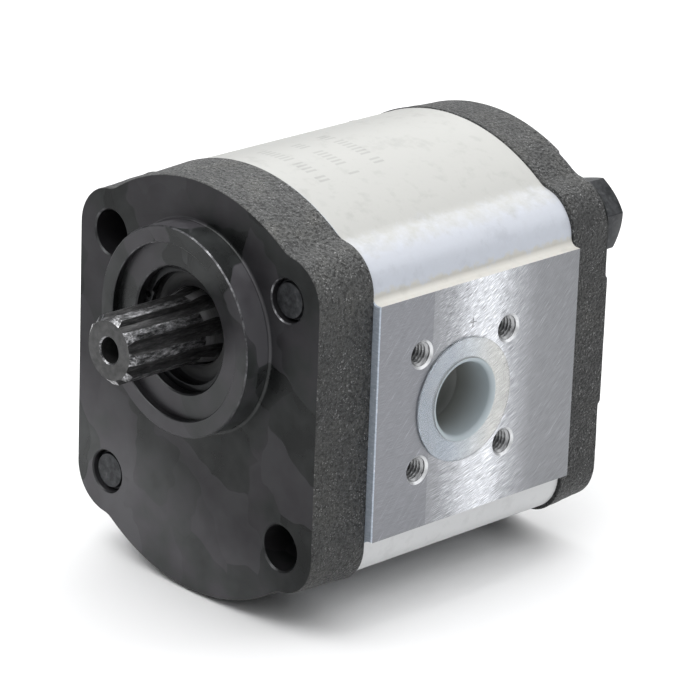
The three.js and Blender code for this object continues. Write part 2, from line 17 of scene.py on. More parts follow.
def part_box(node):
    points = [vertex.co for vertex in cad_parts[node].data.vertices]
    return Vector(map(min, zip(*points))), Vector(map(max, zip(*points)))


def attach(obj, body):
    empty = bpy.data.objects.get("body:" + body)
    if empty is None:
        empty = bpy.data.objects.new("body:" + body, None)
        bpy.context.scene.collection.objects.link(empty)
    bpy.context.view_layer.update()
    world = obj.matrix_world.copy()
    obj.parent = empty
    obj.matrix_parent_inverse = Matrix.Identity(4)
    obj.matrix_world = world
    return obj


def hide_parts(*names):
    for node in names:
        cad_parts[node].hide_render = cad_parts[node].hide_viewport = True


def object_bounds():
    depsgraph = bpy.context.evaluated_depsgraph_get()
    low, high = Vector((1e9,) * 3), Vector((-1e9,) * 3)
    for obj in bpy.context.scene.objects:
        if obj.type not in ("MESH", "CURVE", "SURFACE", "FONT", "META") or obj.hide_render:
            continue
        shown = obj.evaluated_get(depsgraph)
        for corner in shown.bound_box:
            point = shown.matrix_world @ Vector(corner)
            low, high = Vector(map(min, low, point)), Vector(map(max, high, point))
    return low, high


MM = 0.001
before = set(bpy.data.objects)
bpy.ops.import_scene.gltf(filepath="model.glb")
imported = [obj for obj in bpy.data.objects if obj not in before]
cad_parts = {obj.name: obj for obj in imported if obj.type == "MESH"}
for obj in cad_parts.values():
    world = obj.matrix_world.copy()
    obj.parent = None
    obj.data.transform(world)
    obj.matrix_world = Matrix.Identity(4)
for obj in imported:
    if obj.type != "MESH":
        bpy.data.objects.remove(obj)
cad_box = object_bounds()

# ---- Places and sizes taken from the frame, in millimetres ----


def box_mm(node):
    """Lowest and highest corner of a CAD node."""
    low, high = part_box(node)
    return low / MM, high / MM


def middle_mm(node):
    low, high = box_mm(node)
    return (low + high) / 2


BODY_LOW, BODY_HIGH = box_mm("pump_body")
FRONT_JOINT_Y, REAR_JOINT_Y = BODY_LOW.y, BODY_HIGH.y
PAD_X = BODY_HIGH.x
CENTRE_Z = (BODY_LOW.z + BODY_HIGH.z) / 2
GEAR_CENTRES = -2 * CENTRE_Z
PILOT_Y = box_mm("front_cover")[0].y
REAR_FACE_Y = box_mm("rear_cover")[1].y
SHAFT_LOW, SHAFT_HIGH = box_mm("drive_gear_shaft")
PORT_Y = middle_mm("outlet_port_plug").y
UPPER_BOLT = middle_mm("upper_cover_bolt")
LOWER_BOLT = middle_mm("lower_cover_bolt")
CORNER = UPPER_BOLT.x  # half of the bolt square
BOLT_PLACES = [(UPPER_BOLT.x, UPPER_BOLT.z), (LOWER_BOLT.x, LOWER_BOLT.z)]
MOUNTING_PLACES = [(-UPPER_BOLT.x, UPPER_BOLT.z), (-LOWER_BOLT.x, LOWER_BOLT.z)]
CORNER_PLACES = MOUNTING_PLACES + BOLT_PLACES

# ---- Sizes that the frame doesn't state ----

OUTLINE_RADIUS = 50.4
LOBE_RADIUS = 10.7
BLEND_RADIUS = 6
CAST_DRAFT = 1.016
BODY_RADIUS = 50.9
BODY_LOBE = 10.6
PAD_HALF_HEIGHT = 28.7
PAD_FILLET = 2
PILOT_RADIUS = 25
COUNTERBORE_RADIUS = 21
COUNTERBORE_DEPTH = 1.9
SEAL_BORE_RADIUS = 15
SEAL_BORE_END_Y = 7.3
CIRCLIP_GROOVE_RADIUS = 16
SHAFT_PASSAGE_RADIUS = 10.2
HOLE_RADIUS = 5.6
BOLT_RADIUS = 5
BOLT_SPOT_RADIUS = 16.2  # spot faces on the rear cover, which leave a raised land
HOLE_SPOT_RADIUS = 19.4
SPOT_FACE_DEPTH = 0.95
SPOT_FACE_Y = REAR_FACE_Y - SPOT_FACE_DEPTH
JOURNAL_RADIUS = 9
PORT_RADIUS = 10
GEAR_TEETH = 12
GEAR_TIP_RADIUS = 18.3
GEAR_ROOT_RADIUS = 12.4
CHAMBER_RADIUS = 18.6
SPLINE_TEETH = 9
SPLINE_TIP_RADIUS = 8.25
SPLINE_ROOT_RADIUS = 6.95
SPLINE_END_Y = -4.3
CENTRE_HOLE_RADIUS = 3.05  # in the end of the shaft
FLARE_END_Y = -0.9  # where the spline's tip has widened to the journal
SPLINE_FIRST_SPACE = 57.5  # degrees from +X towards +Z
THREAD_OFFSET = 20 / math.sqrt(2)  # four M6 holes on a 40 mm circle
THREAD_PLACES = [(PORT_Y + along * THREAD_OFFSET, CENTRE_Z + up * THREAD_OFFSET)
                 for along in (1, -1) for up in (1, -1)]
SCRIBE_Y, SCRIBE_Z = PORT_Y + 2.1, CENTRE_Z + 18.35
FACE_GAP = 0.2  # between the gears and the bearing blocks
GEAR_FROM = box_mm("front_bearing_block")[1].y + FACE_GAP
GEAR_TO = box_mm("rear_bearing_block")[0].y - FACE_GAP
CAST_STEP = 0.9  # between the points of a cast surface
STRIP_GROOVE = (12.8, 16.4)  # inner and outer radius of the 3-shaped groove, seal and strip
STRIP_SEAL, STRIP_BACKUP = (14.5, 16.2), (13, 14.2)
JOINT_EDGE = [(0.25, 0), (0.08, 0.08), (0, 0.25)]  # a cover's edge: (inset, distance from the joint)

SHARP_ANGLE = math.radians(32)  # steeper edges between faces are shaded sharp

# ---- Meshes ----


def finish_mesh(bm, name):
    """A new object from a bmesh in millimetres, smooth except at sharp edges."""
    bmesh.ops.recalc_face_normals(bm, faces=bm.faces)
    bmesh.ops.scale(bm, vec=(MM, MM, MM), verts=bm.verts)
    mesh = bpy.data.meshes.new(name)
    bm.to_mesh(mesh)
    bm.free()
    piece = bpy.data.objects.new(name, mesh)
    bpy.context.scene.collection.objects.link(piece)
    shade(piece)
    return piece


def shade(piece):
    piece.data.shade_smooth()
    piece.data.set_sharp_from_angle(angle=SHARP_ANGLE)


def apply_modifiers(piece):
    graph = bpy.context.evaluated_depsgraph_get()
    mesh = bpy.data.meshes.new_from_object(piece.evaluated_get(graph))
    old = piece.data
    piece.modifiers.clear()
    piece.data = mesh
    bpy.data.meshes.remove(old)


def combine(piece, others, operation="DIFFERENCE"):
    """Cuts the others out of a piece, or joins them to it, and removes them."""
    for other in others:
        step = piece.modifiers.new("step", "BOOLEAN")
        step.operation = operation
        step.solver = "MANIFOLD"
        step.object = other
    apply_modifiers(piece)
    for other in others:
        mesh = other.data
        bpy.data.objects.remove(other)
        bpy.data.meshes.remove(mesh)
    shade(piece)
    return piece


def bevel(piece, width, segments, angle=30):
    step = piece.modifiers.new("edge", "BEVEL")
    step.width = width * MM
    step.segments = segments
    step.limit_method = "ANGLE"
    step.angle_limit = math.radians(angle)
    apply_modifiers(piece)
    shade(piece)
    return piece


def skin(bm, loops, closed):
    """Faces between rings of vertices. A ring of one vertex is a point on the axis."""
    following = loops[1:] + loops[:1] if closed else loops[1:]
    for first, second in zip(loops, following):
        count = max(len(first), len(second))
        for i in range(count):
            j = (i + 1) % count
            corners = [first[i % len(first)], first[j % len(first)],
                       second[j % len(second)], second[i % len(second)]]
            apart = [c for k, c in enumerate(corners) if c is not corners[k - 1]]
            if len(apart) > 2:
                bm.faces.new(apart)


def loft(rings, name="cutter", place=None):
    """A solid through rings of points, with a flat face at each end."""
    bm = bmesh.new()
    loops = [[bm.verts.new(point) for point in ring] for ring in rings]
    skin(bm, loops, closed=False)
    bm.faces.new(loops[0])
    bm.faces.new(loops[-1])
    if place:
        bm.transform(place)
    return finish_mesh(bm, name)


def full_turn(sides):
    """Evenly spaced angles round a circle."""
    return np.linspace(0, 2 * math.pi, sides, endpoint=False)


def lathe(profile, name="cutter", x=0, z=0, sides=96, place=None):
    """A profile of (radius, y) points turned about Y. It starts and ends on the axis, or closes."""
    bm = bmesh.new()
    loops = []
    for radius, y in profile:
        if radius < 1e-6:
            loops.append([bm.verts.new((0, y, 0))])
        else:
            loops.append([bm.verts.new((radius * math.cos(t), y, radius * math.sin(t)))
                          for t in full_turn(sides)])
    skin(bm, loops, closed=profile[0][0] > 1e-6)
    bm.transform(place if place else Matrix.Translation((x, 0, z)))
    return finish_mesh(bm, name)


def prism(points, from_y, to_y, name="cutter", edge=0.0):
    """An outline in X and Z made solid along Y, with an optional small edge at both ends."""
    if edge:
        inner = inset(points, edge)
        stations = [(inner, from_y), (points, from_y + edge), (points, to_y - edge), (inner, to_y)]
    else:
        stations = [(points, from_y), (points, to_y)]
    return loft([[(x, y, z) for x, z in ring] for ring, y in stations], name)


def round_edge(radius, count=4):
    """(inset, distance from the end) pairs that round an end's edge."""
    turns = np.linspace(0, math.pi / 2, count + 1)
    return [(radius * (1 - math.sin(t)), radius * (1 - math.cos(t))) for t in turns]


# ---- Outlines in X and Z ----


def arc(x, z, radius, start, end, step=1.0):
    count = max(2, math.ceil(abs(end - start) * radius / step))
    return [(x + radius * math.cos(a), z + radius * math.sin(a))
            for a in np.linspace(start, end, count + 1)]


def tidy(points, step=None):
    """Drops points that repeat, and divides spans longer than step."""
    apart = [p for i, p in enumerate(points) if math.dist(p, points[i - 1]) > 1e-4]
    if step is None:
        return apart
    filled = []
    for i, point in enumerate(apart):
        before = apart[i - 1]
        count = max(1, round(math.dist(before, point) / step))
        filled += [tuple(np.array(before) + (np.array(point) - before) * k / count)
                   for k in range(1, count + 1)]
    return filled


def inset(points, amount):
    """The outline moved inwards by amount. Points run anticlockwise."""
    p = np.array(points)
    before = p - np.roll(p, 1, axis=0)
    after = np.roll(p, -1, axis=0) - p
    before /= np.linalg.norm(before, axis=1)[:, None]
    after /= np.linalg.norm(after, axis=1)[:, None]
    normal = np.stack([-(before + after)[:, 1], (before + after)[:, 0]], axis=1)
    normal /= np.linalg.norm(normal, axis=1)[:, None]
    side = np.stack([-after[:, 1], after[:, 0]], axis=1)
    lean = np.clip((normal * side).sum(axis=1), 0.4, 1)
    return [tuple(q) for q in p + normal * (amount / lean)[:, None]]


def outline(radius, lobe, pads=False):
    """A circle above and below, a lobe round each bolt hole, and flat sides or port pads."""
    reach, to_lobe = radius + BLEND_RADIUS, math.hypot(CORNER, CORNER)
    turn = math.acos((reach**2 + to_lobe**2 - (lobe + BLEND_RADIUS) ** 2)
                     / (2 * reach * to_lobe))
    on_circle = math.pi / 4 + turn
    bx, bz = reach * math.cos(on_circle), reach * math.sin(on_circle)
    on_lobe = math.atan2(bz - CORNER, bx - CORNER)
    half, lean, fine = [], 0.0, 0.5
    if pads:
        fillet_z = PAD_HALF_HEIGHT + PAD_FILLET
        lean = math.asin((fillet_z - CORNER) / (lobe + PAD_FILLET))
        fillet_x = CORNER + (lobe + PAD_FILLET) * math.cos(lean)
        half += arc(fillet_x, -fillet_z, PAD_FILLET, math.pi - lean, math.pi / 2, fine)
        half += [(PAD_X, -PAD_HALF_HEIGHT), (PAD_X, PAD_HALF_HEIGHT)]
        half += arc(fillet_x, fillet_z, PAD_FILLET, -math.pi / 2, -math.pi + lean, fine)
    half += arc(CORNER, CORNER, lobe, lean, on_lobe)
    half += arc(bx, bz, BLEND_RADIUS, on_lobe + math.pi, on_circle + math.pi)
    half += arc(0, 0, radius, on_circle, math.pi - on_circle)
    half += arc(-bx, bz, BLEND_RADIUS, -on_circle, -on_lobe)
    half += arc(-CORNER, CORNER, lobe, math.pi - on_lobe, math.pi - lean)
    whole = half + [(-x, -z) for x, z in half]
    return [(x, z + CENTRE_Z) for x, z in tidy(whole)]


def figure_eight(radius):
    waist = math.asin(GEAR_CENTRES / 2 / radius)
    return tidy(arc(0, 0, radius, -waist, math.pi + waist)
                + arc(0, -GEAR_CENTRES, radius, math.pi - waist, 2 * math.pi + waist))


def stadium(radius):
    return tidy(arc(0, 0, radius, 0, math.pi)
                + arc(0, -GEAR_CENTRES, radius, math.pi, 2 * math.pi))


# ---- Castings ----


def cast_noise(x, y, z):
    """Height of a sand-cast surface: slow waves with finer grain on them."""
    slow = noise.noise(Vector((x, y, z)) * 0.16)
    grain = noise.noise(Vector((x, y, z)) * 0.6)
    return 0.12 * slow + 0.10 * grain


def cast_plate(joint_y, face_y, face_edge, name):
    """A cover's plate with rough sides. It widens from its face to its joint with the body."""
    base = tidy(outline(OUTLINE_RADIUS, LOBE_RADIUS), CAST_STEP)
    depth = abs(joint_y - face_y)
    toward = 1 if joint_y > face_y else -1
    first, last = face_edge[-1][1], depth - JOINT_EDGE[-1][1]
    sides = np.linspace(first, last, round((last - first) / CAST_STEP))
    stations = face_edge + [(0, away) for away in sides[1:]]
    stations += [(amount, depth - away) for amount, away in reversed(JOINT_EDGE[:-1])]
    smooth_edge = 1.2
    rings = []
    for amount, away in stations:
        scale = 1 + (CAST_DRAFT - 1) * away / depth
        y = face_y + toward * away
        roughness = min(1.0, away / smooth_edge, (depth - away) / smooth_edge)
        ring = []
        for (x, z), (nx, nz) in zip(inset(base, amount), inset(base, amount + 1)):
            inward = Vector((nx - x, 0, nz - z))
            push = roughness * max(0.0, 0.07 + cast_noise(x, y, z))
            ring.append((x * scale + inward.x * push, y,
                         CENTRE_Z + (z - CENTRE_Z) * scale + inward.z * push))
        rings.append(ring)
    return loft(rings, name)


def hole(place, radius, from_y, to_y, edge=0.4, sides=64):
    """A cutter for a round hole along Y with a small countersink at both ends."""
    over = 1.0
    wide = radius + edge + over
    return lathe([(0, from_y - over), (wide, from_y - over), (radius, from_y + edge),
                  (radius, to_y - edge), (wide, to_y + over), (0, to_y + over)],
                 "cutter", *place, sides)


def dowel_holes(joint_y):
    """Cutters across a joint. The rear dowels are in line with the front ones."""
    radius, half = 2.7, 6.3
    cutters = []
    for node in ("front_right_dowel", "front_left_dowel"):
        place = middle_mm(node)
        cutters.append(lathe([(0, joint_y - half - 0.3), (radius, joint_y - half),
                              (radius, joint_y + half), (0, joint_y + half + 0.3)],
                             "cutter", place.x, place.z, 32))
    return cutters


def corner_holes(mounting, bolt, from_y, to_y, bolt_edge=0.4):
    """Cutters for the mounting holes and the bolt holes, given their radii."""
    return ([hole(place, mounting, from_y, to_y) for place in MOUNTING_PLACES]
            + [hole(place, bolt, from_y, to_y, bolt_edge) for place in BOLT_PLACES])


def front_cover(node):
    plate = cast_plate(FRONT_JOINT_Y, 0, [(0.18, 0), (0.05, 0.1), (0, 0.3)], node)
    edge, foot = 0.3, 0.7
    fillet = [(PILOT_RADIUS + away, -rise) for away, rise in reversed(round_edge(foot))]
    boss = lathe([(0, PILOT_Y), (PILOT_RADIUS - edge, PILOT_Y), (PILOT_RADIUS, PILOT_Y + edge)]
                 + fillet + [(PILOT_RADIUS + foot, 8), (0, 8)], "boss", sides=160)
    floor_y = PILOT_Y + COUNTERBORE_DEPTH
    ring_low, ring_high = box_mm("seal_retaining_ring")
    recess = lathe([
        (0, PILOT_Y - 1), (COUNTERBORE_RADIUS + 1.2, PILOT_Y - 1),
        (COUNTERBORE_RADIUS, PILOT_Y + 0.2), (COUNTERBORE_RADIUS, floor_y),
        (SEAL_BORE_RADIUS + 0.35, floor_y), (SEAL_BORE_RADIUS, floor_y + 0.35),
        (SEAL_BORE_RADIUS, ring_low.y - 0.1), (CIRCLIP_GROOVE_RADIUS, ring_low.y - 0.1),
        (CIRCLIP_GROOVE_RADIUS, ring_high.y + 0.1), (SEAL_BORE_RADIUS, ring_high.y + 0.1),
        (SEAL_BORE_RADIUS, SEAL_BORE_END_Y), (SHAFT_PASSAGE_RADIUS, SEAL_BORE_END_Y),
        (SHAFT_PASSAGE_RADIUS, FRONT_JOINT_Y + 1), (0, FRONT_JOINT_Y + 1)], sides=128)
    combine(plate, [boss], "UNION")
    holes = corner_holes(HOLE_RADIUS - 0.1, BOLT_RADIUS + 0.15, 0, FRONT_JOINT_Y, 0.3)
    return combine(plate, [recess] + holes + dowel_holes(FRONT_JOINT_Y))


def spot_face(place, radius):
    """A cutter for a shallow round face with a sloping wall."""
    slope = SPOT_FACE_DEPTH / 2 + 1
    inner = radius - slope
    return lathe([(0, SPOT_FACE_Y), (inner + 0.8, SPOT_FACE_Y), (inner + 1.1, SPOT_FACE_Y + 0.1),
                  (radius + slope, REAR_FACE_Y + 1), (0, REAR_FACE_Y + 1)],
                 "cutter", *place, sides=128)


def rear_cover(node):
    plate = cast_plate(REAR_JOINT_Y, REAR_FACE_Y, round_edge(0.45, 3), node)
    spots = [spot_face(place, BOLT_SPOT_RADIUS) for place in BOLT_PLACES]
    spots += [spot_face(place, HOLE_SPOT_RADIUS) for place in MOUNTING_PLACES]
    holes = corner_holes(HOLE_RADIUS - 0.1, BOLT_RADIUS + 0.3, REAR_JOINT_Y, REAR_FACE_Y)
    return combine(plate, spots + holes + dowel_holes(REAR_JOINT_Y))


# ---- Body ----


def port_frame(side, y, z):
    """From a frame whose Y runs into the port pad, to the row frame."""
    return (Matrix.Translation((side * PAD_X, y, z))
            @ Matrix.Rotation(side * math.pi / 2, 4, "Z"))


def thread_rings(outer, inner, pitch, from_y, to_y, sides=32):
    """Rings of a screw thread's surface along Y, eight to each pitch."""
    rings = []
    for y in np.arange(from_y, to_y, pitch / 8):
        ring = []
        for t in full_turn(sides):
            phase = (y / pitch - t / (2 * math.pi)) % 1
            crest = min(1.0, max(0.0, (abs(2 * phase - 1) - 0.12) / 0.76))
            radius = inner + (outer - inner) * crest
            ring.append((radius * math.cos(t), y, radius * math.sin(t)))
        rings.append(ring)
    return rings


def tapped_hole(side, y, z):
    """Cutters for an M6 thread with a countersunk mouth and a drill point."""
    place = port_frame(side, y, z)
    depth, mouth, major, minor, pitch = 13, 3.55, 3.0, 2.45, 1.0
    thread = loft(thread_rings(major + 0.1, minor, pitch, -0.4, depth - 1.5), place=place)
    sink = lathe([(0, -0.5), (mouth + 0.5, -0.5), (major, mouth - major), (major, 0.9),
                  (minor, 1.4), (minor, depth), (0, depth + 1.2)], sides=48, place=place)
    return [thread, sink]


def scribed_cross(arm, width, depth):
    """Cutters for the two lines of the small layout cross on the outlet pad."""
    cutters = []
    for reach_y, reach_z in ((arm, width / 2), (width / 2, arm)):
        corners = [(SCRIBE_Y + a * reach_y, SCRIBE_Z + b * reach_z)
                   for a, b in ((-1, -1), (1, -1), (1, 1), (-1, 1))]
        cutters.append(loft([[(x, y, z) for y, z in corners] for x in (PAD_X - depth, PAD_X + 1)]))
    return cutters


def pump_body(node):
    ring = outline(BODY_RADIUS, BODY_LOBE, pads=True)
    body = prism(ring, FRONT_JOINT_Y, REAR_JOINT_Y, node, 0.25)
    cutters = [prism(figure_eight(CHAMBER_RADIUS), FRONT_JOINT_Y - 1, REAR_JOINT_Y + 1)]
    groove_outer, groove_inner = 23.7, 21.5
    for low, high in (box_mm("front_body_seal"), box_mm("rear_body_seal")):
        outer = prism(stadium(groove_outer), low.y - 0.2, high.y + 0.2)
        inner = prism(stadium(groove_inner), low.y - 0.4, high.y + 0.4)
        cutters.append(combine(outer, [inner]))
    port_depth = 33
    for side in (1, -1):
        cutters.append(lathe([(0, -1), (PORT_RADIUS + 1.3, -1), (PORT_RADIUS, 0.3),
                              (PORT_RADIUS, port_depth), (0, port_depth)],
                             place=port_frame(side, PORT_Y, CENTRE_Z)))
        for y, z in THREAD_PLACES:
            cutters += tapped_hole(side, y, z)
    cutters += [hole(place, HOLE_RADIUS, FRONT_JOINT_Y, REAR_JOINT_Y, 0.3)
                for place in CORNER_PLACES]
    cutters += dowel_holes(FRONT_JOINT_Y) + dowel_holes(REAR_JOINT_Y)
    cutters += scribed_cross(1.1, 0.25, 0.12)
    return combine(body, cutters)


# ---- Shafts ----


def involute(angle):
    return math.tan(angle) - angle


def gear_outline(first_tooth, z):
    """An involute gear about (0, z), with the middle of its first tooth at the angle given."""
    pitch_radius, pressure = GEAR_CENTRES / 2, math.radians(24)
    base = pitch_radius * math.cos(pressure)
    backlash, steps = 0.12, 9
    thick = (math.pi * pitch_radius / GEAR_TEETH - backlash) / 2 / pitch_radius
    radii = [GEAR_ROOT_RADIUS, GEAR_ROOT_RADIUS + 0.4] + list(np.linspace(base, GEAR_TIP_RADIUS, steps))
    root_flare = [0.035, 0.008] + [0] * steps
    flank = []
    for radius, wide in zip(radii, root_flare):
        angle = math.acos(min(1.0, base / max(radius, base)))
        flank.append((radius, thick + involute(pressure) - involute(angle) + wide))
    tooth = [(radius, -half) for radius, half in flank] + flank[::-1]
    points = []
    for turn in range(GEAR_TEETH):
        middle = first_tooth + turn * 2 * math.pi / GEAR_TEETH
        points += [(radius * math.cos(middle + lean), z + radius * math.sin(middle + lean))
                   for radius, lean in tooth]
    return tidy(points)


def spline_space(middle):
    """A cutter for one tooth space of the spline, lifting out of the shaft at its end."""
    wide = [(SPLINE_ROOT_RADIUS, 0.8), (7.25, 1.06), (7.7, 1.38), (8.25, 1.85), (9.8, 3.2)]
    section = [(r, -w) for r, w in reversed(wide)] + [(r, w) for r, w in wide]
    lift_from, hob = SPLINE_END_Y - 0.6, 25
    stations = [(SHAFT_LOW.y - 1, 0), (lift_from, 0)]
    for along in np.linspace(0.8, 10.4, 13):
        stations.append((lift_from + along, hob - math.sqrt(hob**2 - along**2)))
    rings = []
    for y, lift in stations:
        rings.append([((r + lift) * math.cos(middle) - t * math.sin(middle), y,
                       (r + lift) * math.sin(middle) + t * math.cos(middle))
                      for r, t in section])
    return loft(rings)


def journal_profile(from_y, to_y):
    """Ground journals with a small undercut beside the gear."""
    edge, undercut = 0.8, JOURNAL_RADIUS - 0.25
    return [(0, from_y), (JOURNAL_RADIUS - edge, from_y), (JOURNAL_RADIUS, from_y + edge),
            (JOURNAL_RADIUS, GEAR_FROM - 1.6), (undercut, GEAR_FROM - 1.3),
            (undercut, GEAR_FROM + 1), (undercut, GEAR_TO + 1.3), (JOURNAL_RADIUS, GEAR_TO + 1.6),
            (JOURNAL_RADIUS, to_y - edge), (JOURNAL_RADIUS - edge, to_y), (0, to_y)]


def add_gear(shaft, first_tooth, z):
    gear = prism(gear_outline(first_tooth, z), GEAR_FROM, GEAR_TO, "gear", 0.15)
    return combine(shaft, [gear], "UNION")


def drive_gear_shaft(node):
    tip = SPLINE_TIP_RADIUS
    stub = [(0, SHAFT_LOW.y), (SPLINE_ROOT_RADIUS + 0.05, SHAFT_LOW.y), (tip, SHAFT_LOW.y + 1.25),
            (tip, SPLINE_END_Y), (tip + 0.2, SPLINE_END_Y + 0.7), (JOURNAL_RADIUS, FLARE_END_Y)]
    rest = journal_profile(0, SHAFT_HIGH.y)[3:]
    shaft = add_gear(lathe(stub + rest, node, sides=144), -math.pi / 2, 0)
    spaces = [spline_space(math.radians(SPLINE_FIRST_SPACE + k * 360 / SPLINE_TEETH))
              for k in range(SPLINE_TEETH)]
    end_y, radius = SHAFT_LOW.y, CENTRE_HOLE_RADIUS
    centre_hole = lathe([(0, end_y - 1), (radius + 1.35, end_y - 1), (radius, end_y + 0.35),
                         (radius, end_y + 12), (0, end_y + 13.6)], sides=64)
    return combine(shaft, spaces + [centre_hole])


def driven_gear_shaft(node):
    low, high = box_mm(node)
    shaft = lathe(journal_profile(low.y, high.y), node, z=-GEAR_CENTRES, sides=144)
    return add_gear(shaft, math.pi / 2 + math.pi / GEAR_TEETH, -GEAR_CENTRES)


# ---- Bearings, seals and small parts ----


def three_strip(inner, outer):
    """A 3-shaped outline round the +X side of both bores."""
    top, waist = math.radians(100), math.radians(-62)
    return tidy(arc(0, -GEAR_CENTRES, outer, -top, -waist) + arc(0, 0, outer, waist, top)
                + arc(0, 0, inner, top, waist) + arc(0, -GEAR_CENTRES, inner, -waist, -top))


def bearing_block(node, end):
    low, high = box_mm(node)
    block = prism(figure_eight(CHAMBER_RADIUS - 0.3), low.y, high.y, node, 0.3)
    strip_low, strip_high = box_mm(f"{end}_pressure_seal")
    groove_from = low.y - 1 if end == "front" else strip_low.y - 0.2
    groove_to = strip_high.y + 0.2 if end == "front" else high.y + 1
    gear_y = high.y if end == "front" else low.y
    relief_radius, relief_depth, bush_bore = 4.5, 1.5, 10.75
    relief = prism(tidy(arc(0, CENTRE_Z, relief_radius, 0, 2 * math.pi)),
                   gear_y - relief_depth, gear_y + relief_depth)
    groove = prism(three_strip(*STRIP_GROOVE), groove_from, groove_to)
    bores = [hole((0, z), bush_bore, low.y, high.y, 0.5, 96) for z in (0, -GEAR_CENTRES)]
    return combine(block, [groove, relief] + bores)


def bush(node):
    low, high = box_mm(node)
    inner, outer, edge = JOURNAL_RADIUS + 0.1, (high.x - low.x) / 2, 0.4
    return lathe([(inner + edge, low.y), (outer - edge, low.y), (outer, low.y + edge),
                  (outer, high.y - edge), (outer - edge, high.y), (inner + edge, high.y),
                  (inner, high.y - edge), (inner, low.y + edge)], node, 0, middle_mm(node).z, 112)


def body_seal(node):
    low, high = box_mm(node)
    ring = prism(stadium(high.x), low.y, high.y, node)
    hollow = prism(stadium(high.x - (high.y - low.y)), low.y - 1, high.y + 1)
    return bevel(combine(ring, [hollow]), 0.55, 4)


def strip(node, radii):
    low, high = box_mm(node)
    return bevel(prism(three_strip(*radii), low.y, high.y, node), 0.3, 3)


def dowel(node):
    low, high = box_mm(node)
    middle, radius, edge = middle_mm(node), (high.x - low.x) / 2, 0.5
    return lathe([(0, low.y), (radius - edge, low.y), (radius, low.y + edge),
                  (radius, high.y - edge), (radius - edge, high.y), (0, high.y)],
                 node, middle.x, middle.z, 48)


def lip_seal(node):
    low, high = box_mm(node)
    case, lip = high.x, JOURNAL_RADIUS + 0.12
    front, rear = low.y, high.y
    return lathe([
        (case - 0.3, front), (case, front + 0.3), (case, rear - 0.6), (case - 0.6, rear),
        (case - 1.6, rear), (case - 1.8, rear - 0.3), (case - 1.8, front + 2.4),
        (12.2, front + 2.1), (10.9, front + 2.5), (10.7, front + 4.4), (10.55, front + 4.8),
        (10.4, front + 5.2), (10.55, front + 5.6), (10.7, front + 6), (10.3, front + 6.3),
        (9.8, front + 6.2), (lip, front + 5.2), (9.9, front + 3.2), (10.1, front + 1.6),
        (9.6, front + 0.9), (lip, front + 0.25), (9.5, front), (10.4, front + 0.45),
        (11.6, front + 0.6), (12.6, front + 0.35), (13.1, front)], node, sides=128)


def garter_spring(node):
    """A close-wound coil bent into a ring."""
    low, high = box_mm(node)
    wire, coils, per_coil = 0.13, 110, 10
    coil_radius = (high.y - low.y) / 2 - wire
    ring_radius = high.x - coil_radius - wire
    middle_y = (low.y + high.y) / 2
    bm = bmesh.new()
    loops = []
    for i in range(coils * per_coil):
        turn, twist = 2 * math.pi * i / (coils * per_coil), 2 * math.pi * i / per_coil
        out = Vector((math.cos(turn), 0, math.sin(turn)))
        rise = out * math.cos(twist) + Vector((0, 1, 0)) * math.sin(twist)
        centre = out * ring_radius + Vector((0, middle_y, 0)) + rise * coil_radius
        along = Vector((-math.sin(turn), 0, math.cos(turn)))
        loops.append([bm.verts.new(centre + (rise * math.cos(a) + along * math.sin(a)) * wire)
                      for a in full_turn(6)])
    skin(bm, loops, closed=True)
    return finish_mesh(bm, node)


def retaining_ring(node):
    """A circlip: open on the -X side, with an eyed lug at each end."""
    low, high = box_mm(node)
    outer, inner, lug = high.x, 13.4, 12.6
    gap, sweep = math.radians(12), math.radians(14)
    open_at, full = -math.pi, 2 * math.pi
    ring = prism(tidy(arc(0, 0, outer, open_at + gap, open_at - gap + full)
                      + arc(0, 0, lug, open_at - gap, open_at - gap - sweep)
                      + arc(0, 0, inner, open_at - gap - sweep, open_at + gap + sweep - full)
                      + arc(0, 0, lug, open_at + gap + sweep, open_at + gap)),
                 low.y, high.y, node)
    eyes = []
    for side in (1, -1):
        angle = open_at + side * (gap + sweep / 2)
        reach = (lug + outer) / 2
        eyes.append(lathe([(0, low.y - 1), (0.85, low.y - 1), (0.85, high.y + 1), (0, high.y + 1)],
                          "cutter", reach * math.cos(angle), reach * math.sin(angle), 24))
    return bevel(combine(ring, eyes), 0.15, 2)


